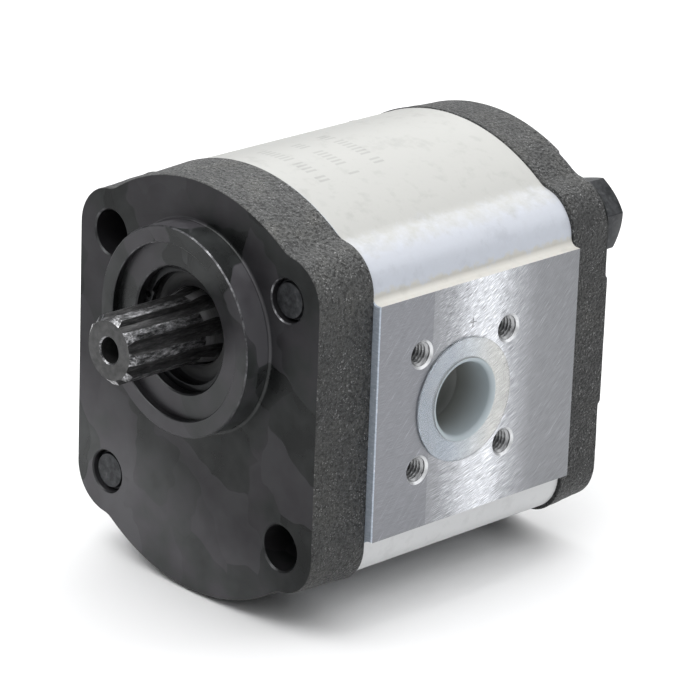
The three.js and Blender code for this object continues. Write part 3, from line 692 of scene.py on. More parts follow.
def cover_bolt(node, place):
    """A long hexagon bolt, threaded where it holds in the front cover."""
    low, high = box_mm(node)
    x, z = place
    seat_y, end_y, top_y, thread_to = SPOT_FACE_Y, low.y, high.y, 20
    edge, core, washer_radius, pitch = 0.8, 4.5, 7.9, 1.5
    shank = lathe([(0, thread_to), (core, thread_to), (BOLT_RADIUS, thread_to + 1),
                   (BOLT_RADIUS, seat_y + 0.5), (0, seat_y + 0.5)], node, x, z, 64)
    rings = thread_rings(BOLT_RADIUS - 0.02, 4.2, pitch, end_y + edge, thread_to + 0.5, sides=48)
    thread = loft(rings, "thread", Matrix.Translation((x, 0, z)))
    tip = lathe([(0, end_y), (core - 0.4, end_y), (core, end_y + edge + 0.1),
                 (0, end_y + edge + 0.1)], "tip", x, z, 64)
    washer = lathe([(0, seat_y), (washer_radius, seat_y), (washer_radius, seat_y + 0.7),
                    (0, seat_y + 0.7)], "washer", x, z, 96)
    flat = 8.5  # from the bolt's axis
    corner, turn = flat / math.cos(math.pi / 6), math.radians(15)
    hexagon = tidy([(x + corner * math.cos(turn + k * math.pi / 3),
                     z + corner * math.sin(turn + k * math.pi / 3)) for k in range(6)])
    head = prism(hexagon, seat_y + 0.5, top_y, "head")
    cone = lathe([(0, seat_y - 1), (corner + 1, seat_y - 1), (corner + 1, top_y - 1.65),
                  (flat - 0.45, top_y - 0.06), (flat - 1.1, top_y), (6.2, top_y),
                  (5.6, top_y - 0.35), (0, top_y - 0.35)], "cone", x, z, 128)
    combine(head, [cone], "INTERSECT")
    bevel(head, 0.18, 2, 40)
    return combine(shank, [thread, tip, washer, head], "UNION")


def port_plug(node, side):
    """A thin flange that rolls into a closed cup."""
    gap, wall, depth, flange, thick = 0.06, 0.9, 12.9, 15.0, 0.6
    cup, lip, edge = PORT_RADIUS - 0.25, 1.2, 0.18
    inner, face = cup - wall, -gap - thick
    roll = [(inner + lip * (1 - math.sin(a)), face + lip * (1 - math.cos(a)))
            for a in np.linspace(0, math.pi / 2, 9)]
    rim = [(flange - edge + edge * math.cos(a), face + edge - edge * math.sin(a))
           for a in np.linspace(0, math.pi / 2, 4)]
    profile = ([(flange - 0.1, -gap), (flange, -gap - 0.1)] + rim + roll
               + [(inner - 0.1, depth - 4.4), (inner - 0.6, depth - 2.6), (inner - 2.0, depth - 1.4),
                  (inner - 4.0, depth - wall), (0, depth - wall),
                  (0, depth), (cup - 1.5, depth), (cup - 0.2, depth - 1.8)])
    for rib_y in (9.2, 6.4, 3.6):
        profile += [(cup - 0.2, rib_y + 0.7), (cup, rib_y + 0.2), (cup, rib_y - 0.2),
                    (cup - 0.2, rib_y - 0.7)]
    profile += [(cup - 0.2, 0.8), (cup + 0.1, -gap)]
    return lathe(profile_loop(profile), node, sides=144, place=port_frame(side, PORT_Y, CENTRE_Z))


def profile_loop(profile):
    """Turns a ring profile that crosses the axis so that it starts and ends there."""
    start = next(i for i, (radius, _) in enumerate(profile) if radius < 1e-6)
    return profile[start + 1:] + profile[:start + 1]


# ---- Materials ----


class Surface:
    """A Principled material and short calls to add its nodes."""

    def __init__(self, name, **sockets):
        self.material = bpy.data.materials.new(name)
        self.material.use_nodes = True
        self.nodes = self.material.node_tree.nodes
        self.links = self.material.node_tree.links
        self.shader = self.nodes["Principled BSDF"]
        for socket, value in sockets.items():
            self.shader.inputs[socket.replace("_", " ")].default_value = value
        place = self.nodes.new("ShaderNodeTexCoord").outputs["Object"]
        self.place = self.vector("MULTIPLY", place, (1 / MM,) * 3)

    def node(self, kind, inputs, output=0, **settings):
        made = self.nodes.new("ShaderNode" + kind)
        for name, value in settings.items():
            setattr(made, name, value)
        for socket, value in inputs.items():
            if isinstance(value, bpy.types.NodeSocket):
                self.links.new(value, made.inputs[socket])
            else:
                made.inputs[socket].default_value = value
        return made.outputs[output]

    def vector(self, operation, first, second, output=0):
        return self.node("VectorMath", {0: first, 1: second}, output, operation=operation)

    def stretched(self, scale):
        return self.vector("MULTIPLY", self.place, scale)

    def axis(self, index):
        """The place along X, Y or Z."""
        return self.node("SeparateXYZ", {0: self.place}, output=index)

    def span(self, value, start, end, low=0.0, high=1.0):
        """Goes from low to high as the value goes from start to end, and no further."""
        return self.node("MapRange", {0: value, 1: start, 2: end, 3: low, 4: high})

    def noise(self, scale, detail=3, roughness=0.5, place=None):
        """Noise whose scale is in patches per millimetre."""
        return self.node("TexNoise", {"Vector": place or self.place, "Scale": scale,
                                      "Detail": detail, "Roughness": roughness})

    def ramp(self, value, stops, depth=1.0):
        """Colours or grey levels at positions along a value, all multiplied by depth."""
        made = self.nodes.new("ShaderNodeValToRGB")
        self.links.new(value, made.inputs[0])
        elements = made.color_ramp.elements
        while len(elements) < len(stops):
            elements.new(0.5)
        for element, (position, colour) in zip(elements, stops):
            element.position = position
            levels = colour if isinstance(colour, tuple) else (colour,) * 3
            element.color = (*(depth * level for level in levels), 1)
        return made.outputs[0]

    def math(self, operation, first, second):
        return self.node("Math", {0: first, 1: second}, operation=operation)

    def mix(self, share, first, second, blend="MIX"):
        made = self.nodes.new("ShaderNodeMix")
        made.data_type = "RGBA"
        made.blend_type = blend
        for socket, value in ((0, share), (6, first), (7, second)):
            if isinstance(value, bpy.types.NodeSocket):
                self.links.new(value, made.inputs[socket])
            else:
                made.inputs[socket].default_value = value if socket == 0 else (*value, 1)
        return made.outputs[2]

    def times(self, first, second):
        return self.mix(1.0, first, second, "MULTIPLY")

    def scaled(self, colour, factor):
        return self.node("VectorMath", {0: colour, "Scale": factor}, operation="SCALE")

    def turned(self, vector, degrees, axis):
        return self.node("VectorRotate", {"Vector": vector, "Angle": math.radians(degrees)},
                         rotation_type=axis + "_AXIS")

    def rings(self, scale, distortion):
        """Turned marks about the shaft's axis."""
        return self.node("TexWave", {"Vector": self.place, "Scale": scale, "Detail": 2,
                                     "Distortion": distortion},
                         output=1, wave_type="RINGS", rings_direction="Y")

    def feed(self, socket, value, stops=None):
        """Feeds a value to the shader, through a ramp where stops are given."""
        self.links.new(self.ramp(value, stops) if stops else value, self.shader.inputs[socket])

    def colour(self, value, stops=None):
        self.feed("Base Color", value, stops)

    def rough(self, value, stops):
        self.feed("Roughness", value, stops)

    def bump(self, height, distance, strength=1.0):
        """Adds a bump whose distance is in millimetres."""
        self.feed("Normal", self.node("Bump", {"Strength": strength, "Distance": distance * MM,
                                               "Height": height}))


EVEN = (1, 1, 1)  # a noise that is not stretched


def plain_surface(name, marks, tones, roughness, bump, grain=None, **sockets):
    """One noise gives the colour and the roughness, and the bump comes from it or from a grain.

    A noise is its scale, detail, roughness and stretch along X, Y and Z.
    """
    s = Surface(name, **sockets)
    seen = s.noise(*marks[:3], s.stretched(marks[3]))
    s.colour(seen, tones)
    s.rough(seen, roughness)
    s.bump(s.noise(*grain[:3], s.stretched(grain[3])) if grain else seen, *bump)
    return s.material


def cast_iron(name, depth):
    """Dark sand-cast iron: a close grain with painted shade in its hollows, clusters of bright
    specks painted as glints, and painted light that lightens it towards the top.
    """
    s = Surface(name, Metallic=0.3)
    grain = s.noise(1.15, 2, 0.5)
    fine = s.noise(2.6, 2, 0.6)
    s.bump(s.math("ADD", grain, s.math("MULTIPLY", fine, 0.2)), 1.25)
    tone = s.ramp(s.noise(0.09, 4, 0.6), [(0.34, (0.046, 0.047, 0.047)), (0.50, (0.055, 0.056, 0.055)),
                                          (0.68, (0.066, 0.066, 0.062))], depth)
    # Painted shade: the grain's hollows are darkened.
    hollow = s.ramp(grain, [(0.36, 0.36), (0.54, 1.0)])
    # Painted glints: clusters of bright specks.
    glint = s.ramp(s.noise(2.6, 2, 0.5), [(0.60, 0.0), (0.69, 1.0)])
    cluster = s.ramp(s.noise(0.35, 2, 0.5), [(0.40, 0.2), (0.66, 1.0)])
    # Painted light: the iron gets lighter towards the top, as if lit from above.
    painted_top_light = s.span(s.axis(2), 4, 34, 0.88, 1.55)
    top_lit_tone = s.scaled(s.times(tone, hollow), painted_top_light)
    s.colour(s.mix(s.math("MULTIPLY", glint, cluster), top_lit_tone, (0.30, 0.30, 0.30)))
    s.rough(fine, [(0.35, 0.62), (0.65, 0.42)])
    return s.material


def machined_iron(name, tones, shines=None):
    """A faced iron surface with a thin film of oil: faint angular stains, turned marks.

    The tone, and the shine if it varies, goes from the first value to the second towards
    the foot of the cover. Where the tone rises, it is a painted reflection of the bright floor.
    """
    s = Surface(name, Metallic=0.6)
    wander = s.node("TexNoise", {"Vector": s.place, "Scale": 0.06, "Detail": 2}, output=1)
    bent = s.vector("ADD", s.place, s.vector("MULTIPLY", wander, (16,) * 3))
    drawn = s.vector("MULTIPLY", s.turned(bent, 35, "Y"), (1.0, 1.0, 0.6))
    patch = s.node("TexVoronoi", {"Vector": drawn, "Scale": 0.075, "Smoothness": 0.03},
                   output=1, feature="SMOOTH_F1")
    split = s.node("SeparateColor", {0: patch})
    cloud = s.noise(0.07, 3, 0.55)
    film = s.math("ADD", s.math("MULTIPLY", split, 0.48), s.math("MULTIPLY", cloud, 0.93))
    stains = s.ramp(film, [(0.46, (0.014, 0.015, 0.015)), (0.62, (0.028, 0.030, 0.030)),
                           (0.76, (0.040, 0.038, 0.042)), (0.92, (0.054, 0.053, 0.057))])
    fall = s.vector("DOT_PRODUCT", s.place, (0.5, 0, 1), 1)
    start, end = -GEAR_CENTRES - 5, -GEAR_CENTRES - 25
    # Tone towards the foot: painted reflection of the floor, where the two tones differ.
    s.colour(s.scaled(stains, s.span(fall, start, end, *tones)))
    if shines:
        s.feed("Specular IOR Level", s.span(fall, start, end, *shines))
    s.rough(film, [(0.45, 0.26), (0.9, 0.44)])
    s.bump(s.rings(0.9, 0.6), 0.012, 0.5)
    return s.material


def edge_highlight_iron():
    """A machined edge with a painted highlight: a broken bright line on its upper outer side, where the
    light falls.
    """
    s = Surface("edge_highlight_iron", Metallic=1.0)
    highlight_patches = s.noise(0.5, 4, 0.7)
    side = s.vector("DOT_PRODUCT", s.place, (0.5, 0, 1), 1)
    # Painted highlight: only on the upper outer side, where the light falls.
    shown = s.ramp(s.span(side, -6, 20), [(0.0, 0.0), (0.8, 1.0)])
    line = s.ramp(highlight_patches, [(0.42, (0.05, 0.05, 0.053)), (0.55, (0.12, 0.12, 0.125)),
                        (0.70, (0.22, 0.22, 0.23))])
    s.colour(s.mix(shown, (0.045, 0.046, 0.047), line))
    s.rough(highlight_patches, [(0.35, 0.42), (0.7, 0.28)])
    s.bump(highlight_patches, 0.05, 0.6)
    return s.material


def bar_marking(s, height):
    """1 on three etched rows of plain bars across the body's top, 0 elsewhere."""
    bar_pitch, row_pitch, rows, reach = 1.5, 9.4, 3, 11.2
    middle_x, first_y = 3.5, FRONT_JOINT_Y + 8.3
    across, along = s.axis(0), s.axis(1)
    column = s.math("DIVIDE", across, bar_pitch)
    row = s.math("DIVIDE", s.math("SUBTRACT", along, first_y), row_pitch)
    cell = s.node("CombineXYZ", {0: s.math("FLOOR", column, 0), 1: s.math("FLOOR", row, 0)})
    pick = s.node("TexWhiteNoise", {"Vector": cell}, noise_dimensions="2D")
    away = s.math("ABSOLUTE", s.math("SUBTRACT", across, middle_x), 0)
    mask = s.math("GREATER_THAN", height, 0)
    for operation, value, limit in (
            ("LESS_THAN", s.math("FRACT", column, 0), 0.5), ("GREATER_THAN", pick, 0.3),
            ("LESS_THAN", s.math("FRACT", row, 0), 0.34), ("GREATER_THAN", row, 0),
            ("LESS_THAN", row, rows), ("LESS_THAN", away, reach)):
        mask = s.math("MULTIPLY", mask, s.math(operation, value, limit))
    return mask


def extruded_aluminium():
    """Pale satin extrusion with faint mottling, and colour by height that is painted light
    and shade: cream by the pads, cooler round the lobes, darker on top, lighter underneath.
    """
    s = Surface("extruded_aluminium", Metallic=0.2)
    mottle = s.noise(0.22, 5, 0.62)
    height = s.axis(2)
    away = s.math("ABSOLUTE", s.math("SUBTRACT", height, CENTRE_Z), 0)
    reach = s.span(away, PAD_HALF_HEIGHT, BODY_RADIUS)
    drift = s.math("MULTIPLY", s.math("SUBTRACT", s.noise(0.3, 5, 0.7), 0.5), 0.28)
    # Colour by height, painted light and shade: cream by the pads, bluish over the lobes, darker grey
    # on top.
    band = s.ramp(s.math("ADD", reach, drift), [
        (0.0, (0.57, 0.555, 0.515)), (0.07, (0.56, 0.55, 0.515)), (0.12, (0.54, 0.57, 0.63)),
        (0.42, (0.50, 0.52, 0.565)), (0.56, (0.42, 0.42, 0.402))])
    # Lighter neutral grey underneath: painted light.
    under = s.span(height, CENTRE_Z - 10, CENTRE_Z - 20)
    sides = s.mix(under, band, (0.62, 0.625, 0.63))
    spots = s.ramp(mottle, [(0.30, 0.90), (0.46, 1.0), (0.60, 0.99), (0.74, 0.93)])
    plain = s.times(sides, spots)
    s.colour(s.mix(bar_marking(s, height), plain, s.times(plain, (0.82,) * 3)))
    lines = s.noise(1.0, 3, 0.6, s.stretched((1.6, 0.03, 1.6)))
    s.rough(mottle, [(0.3, 0.52), (0.7, 0.42)])
    s.bump(s.math("ADD", s.math("MULTIPLY", lines, 0.6), s.math("MULTIPLY", s.noise(1.4, 3), 0.5)),
           0.03, 0.6)
    return s.material


def milled_aluminium():
    """A face-milled pad: arcs left by the cutter, a painted highlight band, and stray scratches."""
    s = Surface("milled_aluminium", Metallic=1.0, Anisotropic=0.4)
    cutter_y, cutter_z = 16, 69  # the middle of the arcs
    along = s.axis(1)
    flat, rise = s.math("SUBTRACT", along, cutter_y), s.math("SUBTRACT", s.axis(2), cutter_z)
    radius = s.node("VectorMath", {0: s.node("CombineXYZ", {1: flat, 2: rise})}, output=1,
                    operation="LENGTH")
    angle = s.math("ARCTAN2", rise, flat)

    def arcs(across, around, detail):
        place = s.node("CombineXYZ", {0: s.math("MULTIPLY", radius, across),
                                      1: s.math("MULTIPLY", angle, around)})
        return s.noise(1.0, detail, 0.62, place)

    strokes = arcs(4.2, 13, 4)
    scratches = arcs(9.0, 30, 2)
    cross = s.noise(1.0, 2, 0.6,
                    s.vector("MULTIPLY", s.turned(s.place, -48, "X"), (0.5, 0.12, 4.2)))
    swayed = s.math("ADD", along, s.math("MULTIPLY", s.math("SUBTRACT", strokes, 0.5), 11))
    reach = s.span(swayed, FRONT_JOINT_Y, REAR_JOINT_Y)
    # Painted highlight: a bright band across the middle of the pad, brightest in its centre.
    band = s.ramp(reach, [(0.25, 0.29), (0.36, 0.40), (0.46, 0.68), (0.56, 0.78), (0.66, 0.46),
                          (0.78, 0.27), (0.92, 0.25)])
    front_zone = s.math("LESS_THAN", along, FRONT_JOINT_Y + 17.3)
    tone = s.mix(front_zone, band, (0.25, 0.25, 0.255))
    centre_highlight = s.ramp(reach, [(0.26, 0.15), (0.34, 0.8), (0.62, 0.9), (0.76, 0.2)])
    lit = s.mix(centre_highlight, (1, 1, 1),
                s.ramp(scratches, [(0.37, 0.46), (0.5, 0.88), (0.59, 1.35), (0.68, 1.95)]))
    crossed = s.ramp(cross, [(0.4, 0.92), (0.66, 1.0), (0.74, 1.5)])
    s.colour(s.times(s.times(s.times(tone, lit), crossed), (0.93, 0.95, 1.0)))
    s.rough(scratches, [(0.35, 0.42), (0.75, 0.26)])
    s.bump(s.math("ADD", strokes, s.math("MULTIPLY", scratches, 0.6)), 0.04, 0.7)
    return s.material


def sawn_aluminium():
    """The extrusion's cut end: cool grey with fine lines and specks."""
    s = Surface("sawn_aluminium", Metallic=0.6)
    lines = s.noise(1.0, 3, 0.6, s.stretched((0.5, 1.0, 2.4)))
    fleck = s.ramp(s.noise(1.8, 2), [(0.62, 0.0), (0.7, 0.6)])
    tone = s.ramp(lines, [(0.3, (0.34, 0.39, 0.46)), (0.7, (0.52, 0.57, 0.64))])
    s.colour(s.mix(fleck, tone, (0.85, 0.87, 0.9)))
    s.rough(lines, [(0.3, 0.40), (0.7, 0.55)])
    s.bump(lines, 0.03, 0.6)
    return s.material


def shaft_end_steel():
    """The turned end of the shaft: even dark grey with fine rings."""
    s = Surface("shaft_end_steel", Metallic=0.8)
    cloud = s.noise(0.5, 4, 0.6)
    s.colour(cloud, [(0.35, 0.046), (0.7, 0.080)])
    s.rough(cloud, [(0.3, 0.46), (0.7, 0.36)])
    s.bump(s.rings(1.6, 0.8), 0.02, 0.6)
    return s.material


def plug_plastic():
    """Soft, waxy, see-through plastic, where the plug's flange lies thin on the pad."""
    s = Surface("plug_plastic", IOR=1.3, Transmission_Weight=0.8)
    cloud = s.noise(0.15, 3)
    # Painted light: creamier towards the rear, where the lit pad shows through.
    painted_rear_light = s.span(s.axis(1), PORT_Y - 4, PORT_Y + 9)
    clear = s.ramp(cloud, [(0.35, (0.88, 0.94, 1.0)), (0.65, (0.93, 0.96, 1.0))])
    s.colour(s.mix(painted_rear_light, clear, (1.0, 0.995, 0.965)))
    s.rough(cloud, [(0.3, 0.10), (0.7, 0.16)])
    s.bump(s.noise(0.2, 1), 0.02, 0.3)
    return s.material


def cup_plastic():
    """The same plastic in the plug's cup: milky, with painted shade that darkens it further in."""
    s = Surface("cup_plastic", IOR=1.35, Transmission_Weight=0.1)
    cloud = s.noise(0.08, 2)
    # Painted shade: darker deeper into the cup.
    deep = s.span(s.math("ABSOLUTE", s.axis(0), 0), PAD_X + 1, PAD_X - 12)
    tone = s.ramp(deep, [(0.0, (0.46, 0.52, 0.55)), (0.12, (0.36, 0.41, 0.435)),
                         (0.45, (0.32, 0.35, 0.36)), (0.8, (0.27, 0.28, 0.265)),
                         (0.95, (0.17, 0.175, 0.165))])
    s.colour(s.times(tone, s.ramp(cloud, [(0.35, 0.94), (0.65, 1.0)])))
    s.rough(cloud, [(0.3, 0.38), (0.7, 0.48)])
    s.bump(s.noise(0.2, 1), 0.02, 0.3)
    return s.material


def cut_aluminium(name, tone):
    """Bored and threaded aluminium."""
    return plain_surface(name, (1.2, 4, 0.6, EVEN), [
        (0.3, (tone * 0.86, tone * 0.87, tone * 0.89)), (0.7, (tone, tone * 1.01, tone * 1.02))],
        [(0.3, 0.36), (0.7, 0.48)], (0.02, 0.5), Metallic=1.0)


def ground_steel(name, dark, light):
    """Ground steel with fine lines round the shaft."""
    return plain_surface(name, (1.0, 3, 0.6, (0.1, 5.0, 0.1)), [
        (0.3, (dark, dark, dark * 1.02)), (0.7, (light, light, light * 1.02))],
        [(0.3, 0.36), (0.7, 0.46)], (0.008, 0.5), Metallic=1.0)


def black_oxide(name, tone):
    return plain_surface(name, (0.7, 4, 0.6, EVEN), [
        (0.35, (tone * 0.022, tone * 0.023, tone * 0.025)),
        (0.6, (tone * 0.05, tone * 0.052, tone * 0.055)),
        (0.8, (tone * 0.11, tone * 0.11, tone * 0.115))],
        [(0.3, 0.36), (0.7, 0.5)], (0.03, 0.5), Metallic=0.8)


SPLINE = plain_surface("spline_steel", (1.0, 4, 0.65, (1.4, 0.25, 1.4)), [  # dark tooth spaces
    (0.34, (0.036, 0.036, 0.037)), (0.55, (0.086, 0.085, 0.086)), (0.72, (0.19, 0.19, 0.192))],
    [(0.35, 0.48), (0.7, 0.34)], (0.06, 0.6), Metallic=0.9)
CREST = plain_surface("crest_steel", (1.0, 5, 0.7, (1.1, 0.4, 1.1)), [  # painted highlight: bright in patches
    (0.38, (0.030, 0.030, 0.031)), (0.48, (0.12, 0.12, 0.122)), (0.58, (0.30, 0.30, 0.31)),
    (0.68, (0.72, 0.72, 0.74))],
    [(0.35, 0.44), (0.7, 0.26)], (0.05, 0.7), (1.0, 3, 0.6, (4, 0.4, 4)), Metallic=1.0)
RUBBER = plain_surface("seal_rubber", (0.9, 4, 0.6, EVEN), [
    (0.4, (0.007, 0.007, 0.008)), (0.75, 0.018)],
    [(0.3, 0.45), (0.7, 0.65)], (0.02, 0.5), (3.0, 2, 0.5, EVEN), Specular_IOR_Level=0.35)
BRONZE = plain_surface("bush_bronze", (0.5, 4, 0.6, EVEN), [
    (0.3, (0.36, 0.27, 0.14)), (0.7, (0.55, 0.43, 0.24))],
    [(0.3, 0.26), (0.7, 0.4)], (0.01, 0.5), (1.0, 3, 0.6, (0.1, 4.0, 0.1)), Metallic=1.0)
BACKUP = plain_surface("backup_plastic", (0.6, 3, 0.5, EVEN), [
    (0.35, (0.74, 0.71, 0.62)), (0.65, (0.82, 0.80, 0.72))],
    [(0.3, 0.42), (0.7, 0.55)], (0.015, 0.5), (2.0, 2, 0.5, EVEN), Subsurface_Weight=0.1)
# The rear cover's cast iron is a copy darkened to 0.76: painted shade.
CAST, SHADED_REAR_CAST = cast_iron("cast_iron", 1.0), cast_iron("shaded_rear_cast_iron", 0.76)
# The front cover's face is lighter towards its foot: painted reflection of the floor.
MACHINED = machined_iron("machined_iron", (0.66, 1.3), (0.22, 0.75))
# The boss's turned side uses a copy 2.3 times lighter: painted reflection.
BOSS, LIT_TURNED = machined_iron("boss_iron", (1, 1)), machined_iron("lit_turned_iron", (2.3, 2.3))
# The boss's edge gets a painted highlight, and the extrusion's colour by height is painted light and
# shade.
EXTRUDED, MILLED, SAWN, EDGE_HIGHLIGHT = extruded_aluminium(), milled_aluminium(), sawn_aluminium(), edge_highlight_iron()
# Threads and the scribed cross use a darker copy: painted shade.
CUT, THREAD = cut_aluminium("cut_aluminium", 0.72), cut_aluminium("shaded_thread_aluminium", 0.42)
GROUND, BRIGHT = ground_steel("ground_steel", 0.28, 0.42), ground_steel("bright_steel", 0.5, 0.7)
# The retaining ring, inside the front cover's recess, uses a copy darkened to 0.35: painted shade.
OXIDE, SHADED_RING = black_oxide("black_oxide", 1.0), black_oxide("shaded_oxide", 0.35)
PLUG, CUP, SHAFT_END = plug_plastic(), cup_plastic(), shaft_end_steel()

# ---- Which face gets which material ----


def paint(piece, materials, choose):
    """Sets a piece's materials. choose(centres, normals) gives each face's index, in millimetres."""
    mesh = piece.data
    mesh.materials.clear()
    for material in materials:
        mesh.materials.append(material)
    count = len(mesh.polygons)
    indices = np.zeros(count, int)
    if choose:
        centres, normals = np.zeros(count * 3), np.zeros(count * 3)
        mesh.polygons.foreach_get("center", centres)
        mesh.polygons.foreach_get("normal", normals)
        indices = choose(centres.reshape(-1, 3) / MM, normals.reshape(-1, 3))
    mesh.polygons.foreach_set("material_index", indices.astype(int))
    mesh.update()


TOUCH = 0.02  # a face this close to a surface lies on it


def distance(centres, place=(0, 0)):
    """From each face to a line along Y through a place in X and Z."""
    return np.hypot(centres[:, 0] - place[0], centres[:, 2] - place[1])


def near_any(centres, places, reach):
    return np.any([distance(centres, place) < reach for place in places], axis=0)


def near_holes(centres):
    """Close to the pilot boss or to a corner hole's wall or edge."""
    return ((distance(centres) < PILOT_RADIUS + 1)
            | near_any(centres, CORNER_PLACES, HOLE_RADIUS + 1.2))


def front_cover_faces(centres, normals):
    """0 cast, 1 machined, 2 edges with a painted highlight, 3 the boss's turned side, lighter as
    painted reflection, 4 its face and foot.
    """
    y, slope, radius = centres[:, 1], np.abs(normals[:, 1]), distance(centres)
    close = near_holes(centres)
    index = np.where(close | (slope > 0.9), 1, 0)
    index[close & (slope > 0.3) & (slope < 0.9) & (y < 1)] = 2
    index[(slope > 0.9) & (y < -1)] = 4
    index[(np.abs(radius - PILOT_RADIUS) < 0.1) & (slope < 0.3) & (y < 0)] = 3
    index[(radius > PILOT_RADIUS + TOUCH) & (y < -TOUCH)] = 4
    return index


def rear_cover_faces(centres, normals):
    """0 cast, 1 the holes and the seats of the bolt heads."""
    holes = near_holes(centres) & (np.abs(normals[:, 1]) < 0.9)
    seats = near_any(centres, BOLT_PLACES, BOLT_SPOT_RADIUS)
    seats &= np.abs(centres[:, 1] - SPOT_FACE_Y) < 0.4
    return np.where(holes | seats, 1, 0)


def body_faces(centres, normals):
    """0 extruded, 1 milled pad, 2 bored, 3 sawn end, 4 threads and the scribed cross, darker as painted
    shade.
    """
    x, y, z = centres.T
    depth = PAD_X - np.abs(x)  # below the pads
    rim_from, port_face, port_from, thread_reach, cross_reach = 39, 24, 28, 3.3, 1.6
    rim = distance(centres, (0, CENTRE_Z)) > rim_from
    on_lobe = (near_any(centres, CORNER_PLACES, BODY_LOBE + 1)
               & ~near_any(centres, CORNER_PLACES, BODY_LOBE - 1))
    outside = (rim | on_lobe | (np.abs(x) > CORNER + 9)) & (np.abs(normals[:, 1]) < 0.3)
    index = np.where(outside, 0, 2)
    index[near_any(centres, CORNER_PLACES, HOLE_RADIUS + 1)] = 2
    index[(np.abs(depth) < TOUCH) & (np.abs(normals[:, 0]) > 0.9)] = 1
    inside = (np.hypot(y - PORT_Y, z - CENTRE_Z) < port_face) & (np.abs(x) > port_from)
    index[inside & (depth > TOUCH)] = 2
    for thread_y, thread_z in THREAD_PLACES:
        near = np.hypot(y - thread_y, z - thread_z) < thread_reach
        index[inside & near & (depth > 0.6)] = 4
    scribed = (np.abs(y - SCRIBE_Y) < cross_reach) & (np.abs(z - SCRIBE_Z) < cross_reach)
    index[scribed & (x > PAD_X - 0.5) & (depth > TOUCH)] = 4
    index[np.minimum(np.abs(y - FRONT_JOINT_Y), np.abs(y - REAR_JOINT_Y)) < 0.4] = 3
    return index


def shaft_faces(centres, normals):
    """0 tooth spaces, 1 ground journals and gear, 2 crests and edges, bright with painted highlight, 3
    the turned end.
    """
    x, y, z = centres.T
    radius = distance(centres)
    gear_side_y, drilled_radius = 6, 4.5
    outward = (x * normals[:, 0] + z * normals[:, 2]) / radius
    index = np.ones(len(centres), int)
    flare = (y > SPLINE_END_Y - 0.1) & (y < FLARE_END_Y + 0.1) & (outward > 0.93)
    flare &= radius > SPLINE_TIP_RADIUS - 0.1
    index[(radius < JOURNAL_RADIUS - TOUCH) & (y < gear_side_y) & ~flare] = 0
    crest = (radius > SPLINE_TIP_RADIUS - 0.03) & (y < SPLINE_END_Y) & (outward > 0.95)
    chamfer = (y < SHAFT_LOW.y + 1.2) & (outward > 0.5) & (radius > SPLINE_ROOT_RADIUS)
    index[crest | chamfer] = 2
    index[(y < SHAFT_LOW.y + TOUCH) | (radius < drilled_radius) & (y < 0)] = 3
    mouth = (radius > CENTRE_HOLE_RADIUS + 0.01) & (radius < CENTRE_HOLE_RADIUS + 0.4)
    index[mouth & (y > SHAFT_LOW.y) & (y < SHAFT_LOW.y + 0.4)] = 2
    return index


def plug_faces(centres, _normals):
    """0 the flange, 1 the cup and the roll at its mouth."""
    radius = np.hypot(centres[:, 1] - PORT_Y, centres[:, 2] - CENTRE_Z)
    return np.where(radius < PORT_RADIUS, 1, 0)


# ---- Assembly ----


def add(node, slot, materials, build, *details, choose=None, body="housing"):
    """Builds the piece for a CAD node and paints it; it moves with its body. The slot is not used."""
    piece = build(node, *details)
    paint(piece, materials, choose)
    piece.name = node + "_skin"
    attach(piece, body)
    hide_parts(node)


add("front_cover", "cast_iron", [CAST, MACHINED, EDGE_HIGHLIGHT, LIT_TURNED, BOSS], front_cover,
    choose=front_cover_faces)
add("rear_cover", "cast_iron", [SHADED_REAR_CAST, BOSS], rear_cover, choose=rear_cover_faces)
add("pump_body", "body_aluminium", [EXTRUDED, MILLED, CUT, SAWN, THREAD], pump_body,
    choose=body_faces)
add("drive_gear_shaft", "gear_steel", [SPLINE, GROUND, CREST, SHAFT_END], drive_gear_shaft,
    choose=shaft_faces, body="drive_shaft")
add("driven_gear_shaft", "gear_steel", [GROUND], driven_gear_shaft, body="driven_shaft")
for end in ("front", "rear"):
    add(f"{end}_bearing_block", "bearing_aluminium", [CUT], bearing_block, end)
    for shaft in ("drive", "driven"):
        add(f"{end}_{shaft}_bush", "bush_bronze", [BRONZE], bush)
    add(f"{end}_body_seal", "seal_rubber", [RUBBER], body_seal)
    add(f"{end}_pressure_seal", "seal_rubber", [RUBBER], strip, STRIP_SEAL)
    add(f"{end}_backup_strip", "backup_plastic", [BACKUP], strip, STRIP_BACKUP)
    for side in ("right", "left"):
        add(f"{end}_{side}_dowel", "bright_steel", [BRIGHT], dowel)
add("shaft_lip_seal", "seal_rubber", [RUBBER], lip_seal)
add("seal_garter_spring", "bright_steel", [BRIGHT], garter_spring)
add("seal_retaining_ring", "black_oxide", [SHADED_RING], retaining_ring)
for level, place in zip(("upper", "lower"), BOLT_PLACES):
    add(f"{level}_cover_bolt", "black_oxide", [OXIDE], cover_bolt, place)
for port, side in (("outlet", 1), ("inlet", -1)):
    add(f"{port}_port_plug", "plug_plastic", [PLUG, CUP], port_plug, side,
        choose=plug_faces, body=f"{port}_plug")

# ---- Floor, light and camera ----


def pale_floor():
    bm = bmesh.new()
    bmesh.ops.create_circle(bm, cap_ends=True, segments=96, radius=4000)
    bm.transform(Matrix.Translation((0, 0, cad_box[0].z / MM)))
    floor = finish_mesh(bm, "floor")
    s = Surface("pale_floor", Roughness=0.75)
    s.colour(s.noise(0.01, 2), [(0.3, 0.86), (0.7, 0.88)])
    floor.data.materials.append(s.material)


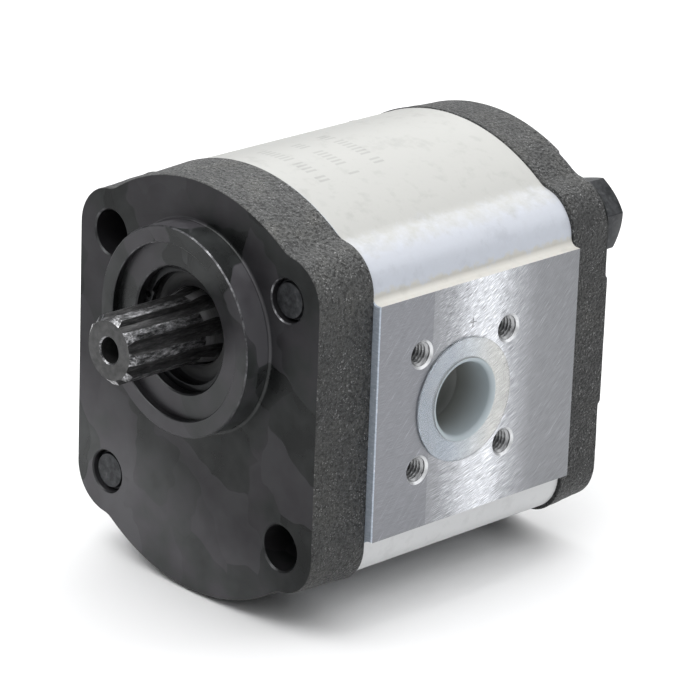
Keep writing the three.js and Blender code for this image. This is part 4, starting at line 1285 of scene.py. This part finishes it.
def area_light(name, place, aim, size, power):
    light = bpy.data.lights.new(name, "AREA")
    light.shape = "RECTANGLE"
    light.size, light.size_y = size
    light.energy = power
    lamp = bpy.data.objects.new(name, light)
    lamp.location = place
    lamp.rotation_euler = (Vector(aim) - Vector(place)).to_track_quat("-Z", "Y").to_euler()
    bpy.context.scene.collection.objects.link(lamp)


def studio():
    middle = (0, 0.04, -0.02)
    area_light("overhead", (-0.05, 0.0, 1.15), middle, (2.0, 2.0), 25.5)
    area_light("back", (-0.5, 0.95, 0.6), middle, (1.2, 0.5), 4.4)
    area_light("back_right", (0.6, 0.8, 0.65), middle, (0.4, 0.4), 1.4)
    area_light("front_right", (0.55, -0.65, 0.6), middle, (0.5, 0.5), 1.7)
    area_light("front_top", (-0.2, -0.6, 1.0), (-0.05, -0.12, -0.07), (0.6, 0.6), 3.0)
    world = bpy.data.worlds.new("studio")
    world.use_nodes = True
    background = world.node_tree.nodes["Background"]
    background.inputs["Color"].default_value = (0.95, 0.97, 1.0, 1)
    background.inputs["Strength"].default_value = 0.3
    bpy.context.scene.world = world
    bpy.context.scene.view_settings.view_transform = "Standard"


def camera():
    """A long lens from the front right, a little above."""
    azimuth, elevation, roll = math.radians(45.27), math.radians(20.45), math.radians(2.16)
    away, across, up_shift, lens = 0.9421, 0.03535, -0.00558, 211.4
    back = Vector((math.sin(azimuth) * math.cos(elevation),
                   -math.cos(azimuth) * math.cos(elevation), math.sin(elevation)))
    level = (-back).cross(Vector((0, 0, 1))).normalized()
    upright = level.cross(-back)
    right = level * math.cos(roll) + upright * math.sin(roll)
    up = upright * math.cos(roll) - level * math.sin(roll)
    data = bpy.data.cameras.new("camera")
    data.sensor_width = 36
    data.lens = lens
    data.clip_start, data.clip_end = 0.05, 20
    made = bpy.data.objects.new("camera", data)
    turn = Matrix((right, up, back)).transposed().to_4x4()
    made.matrix_world = Matrix.Translation(back * away + right * across + up * up_shift) @ turn
    bpy.context.scene.collection.objects.link(made)
    bpy.context.scene.camera = made


pale_floor()
studio()
camera()
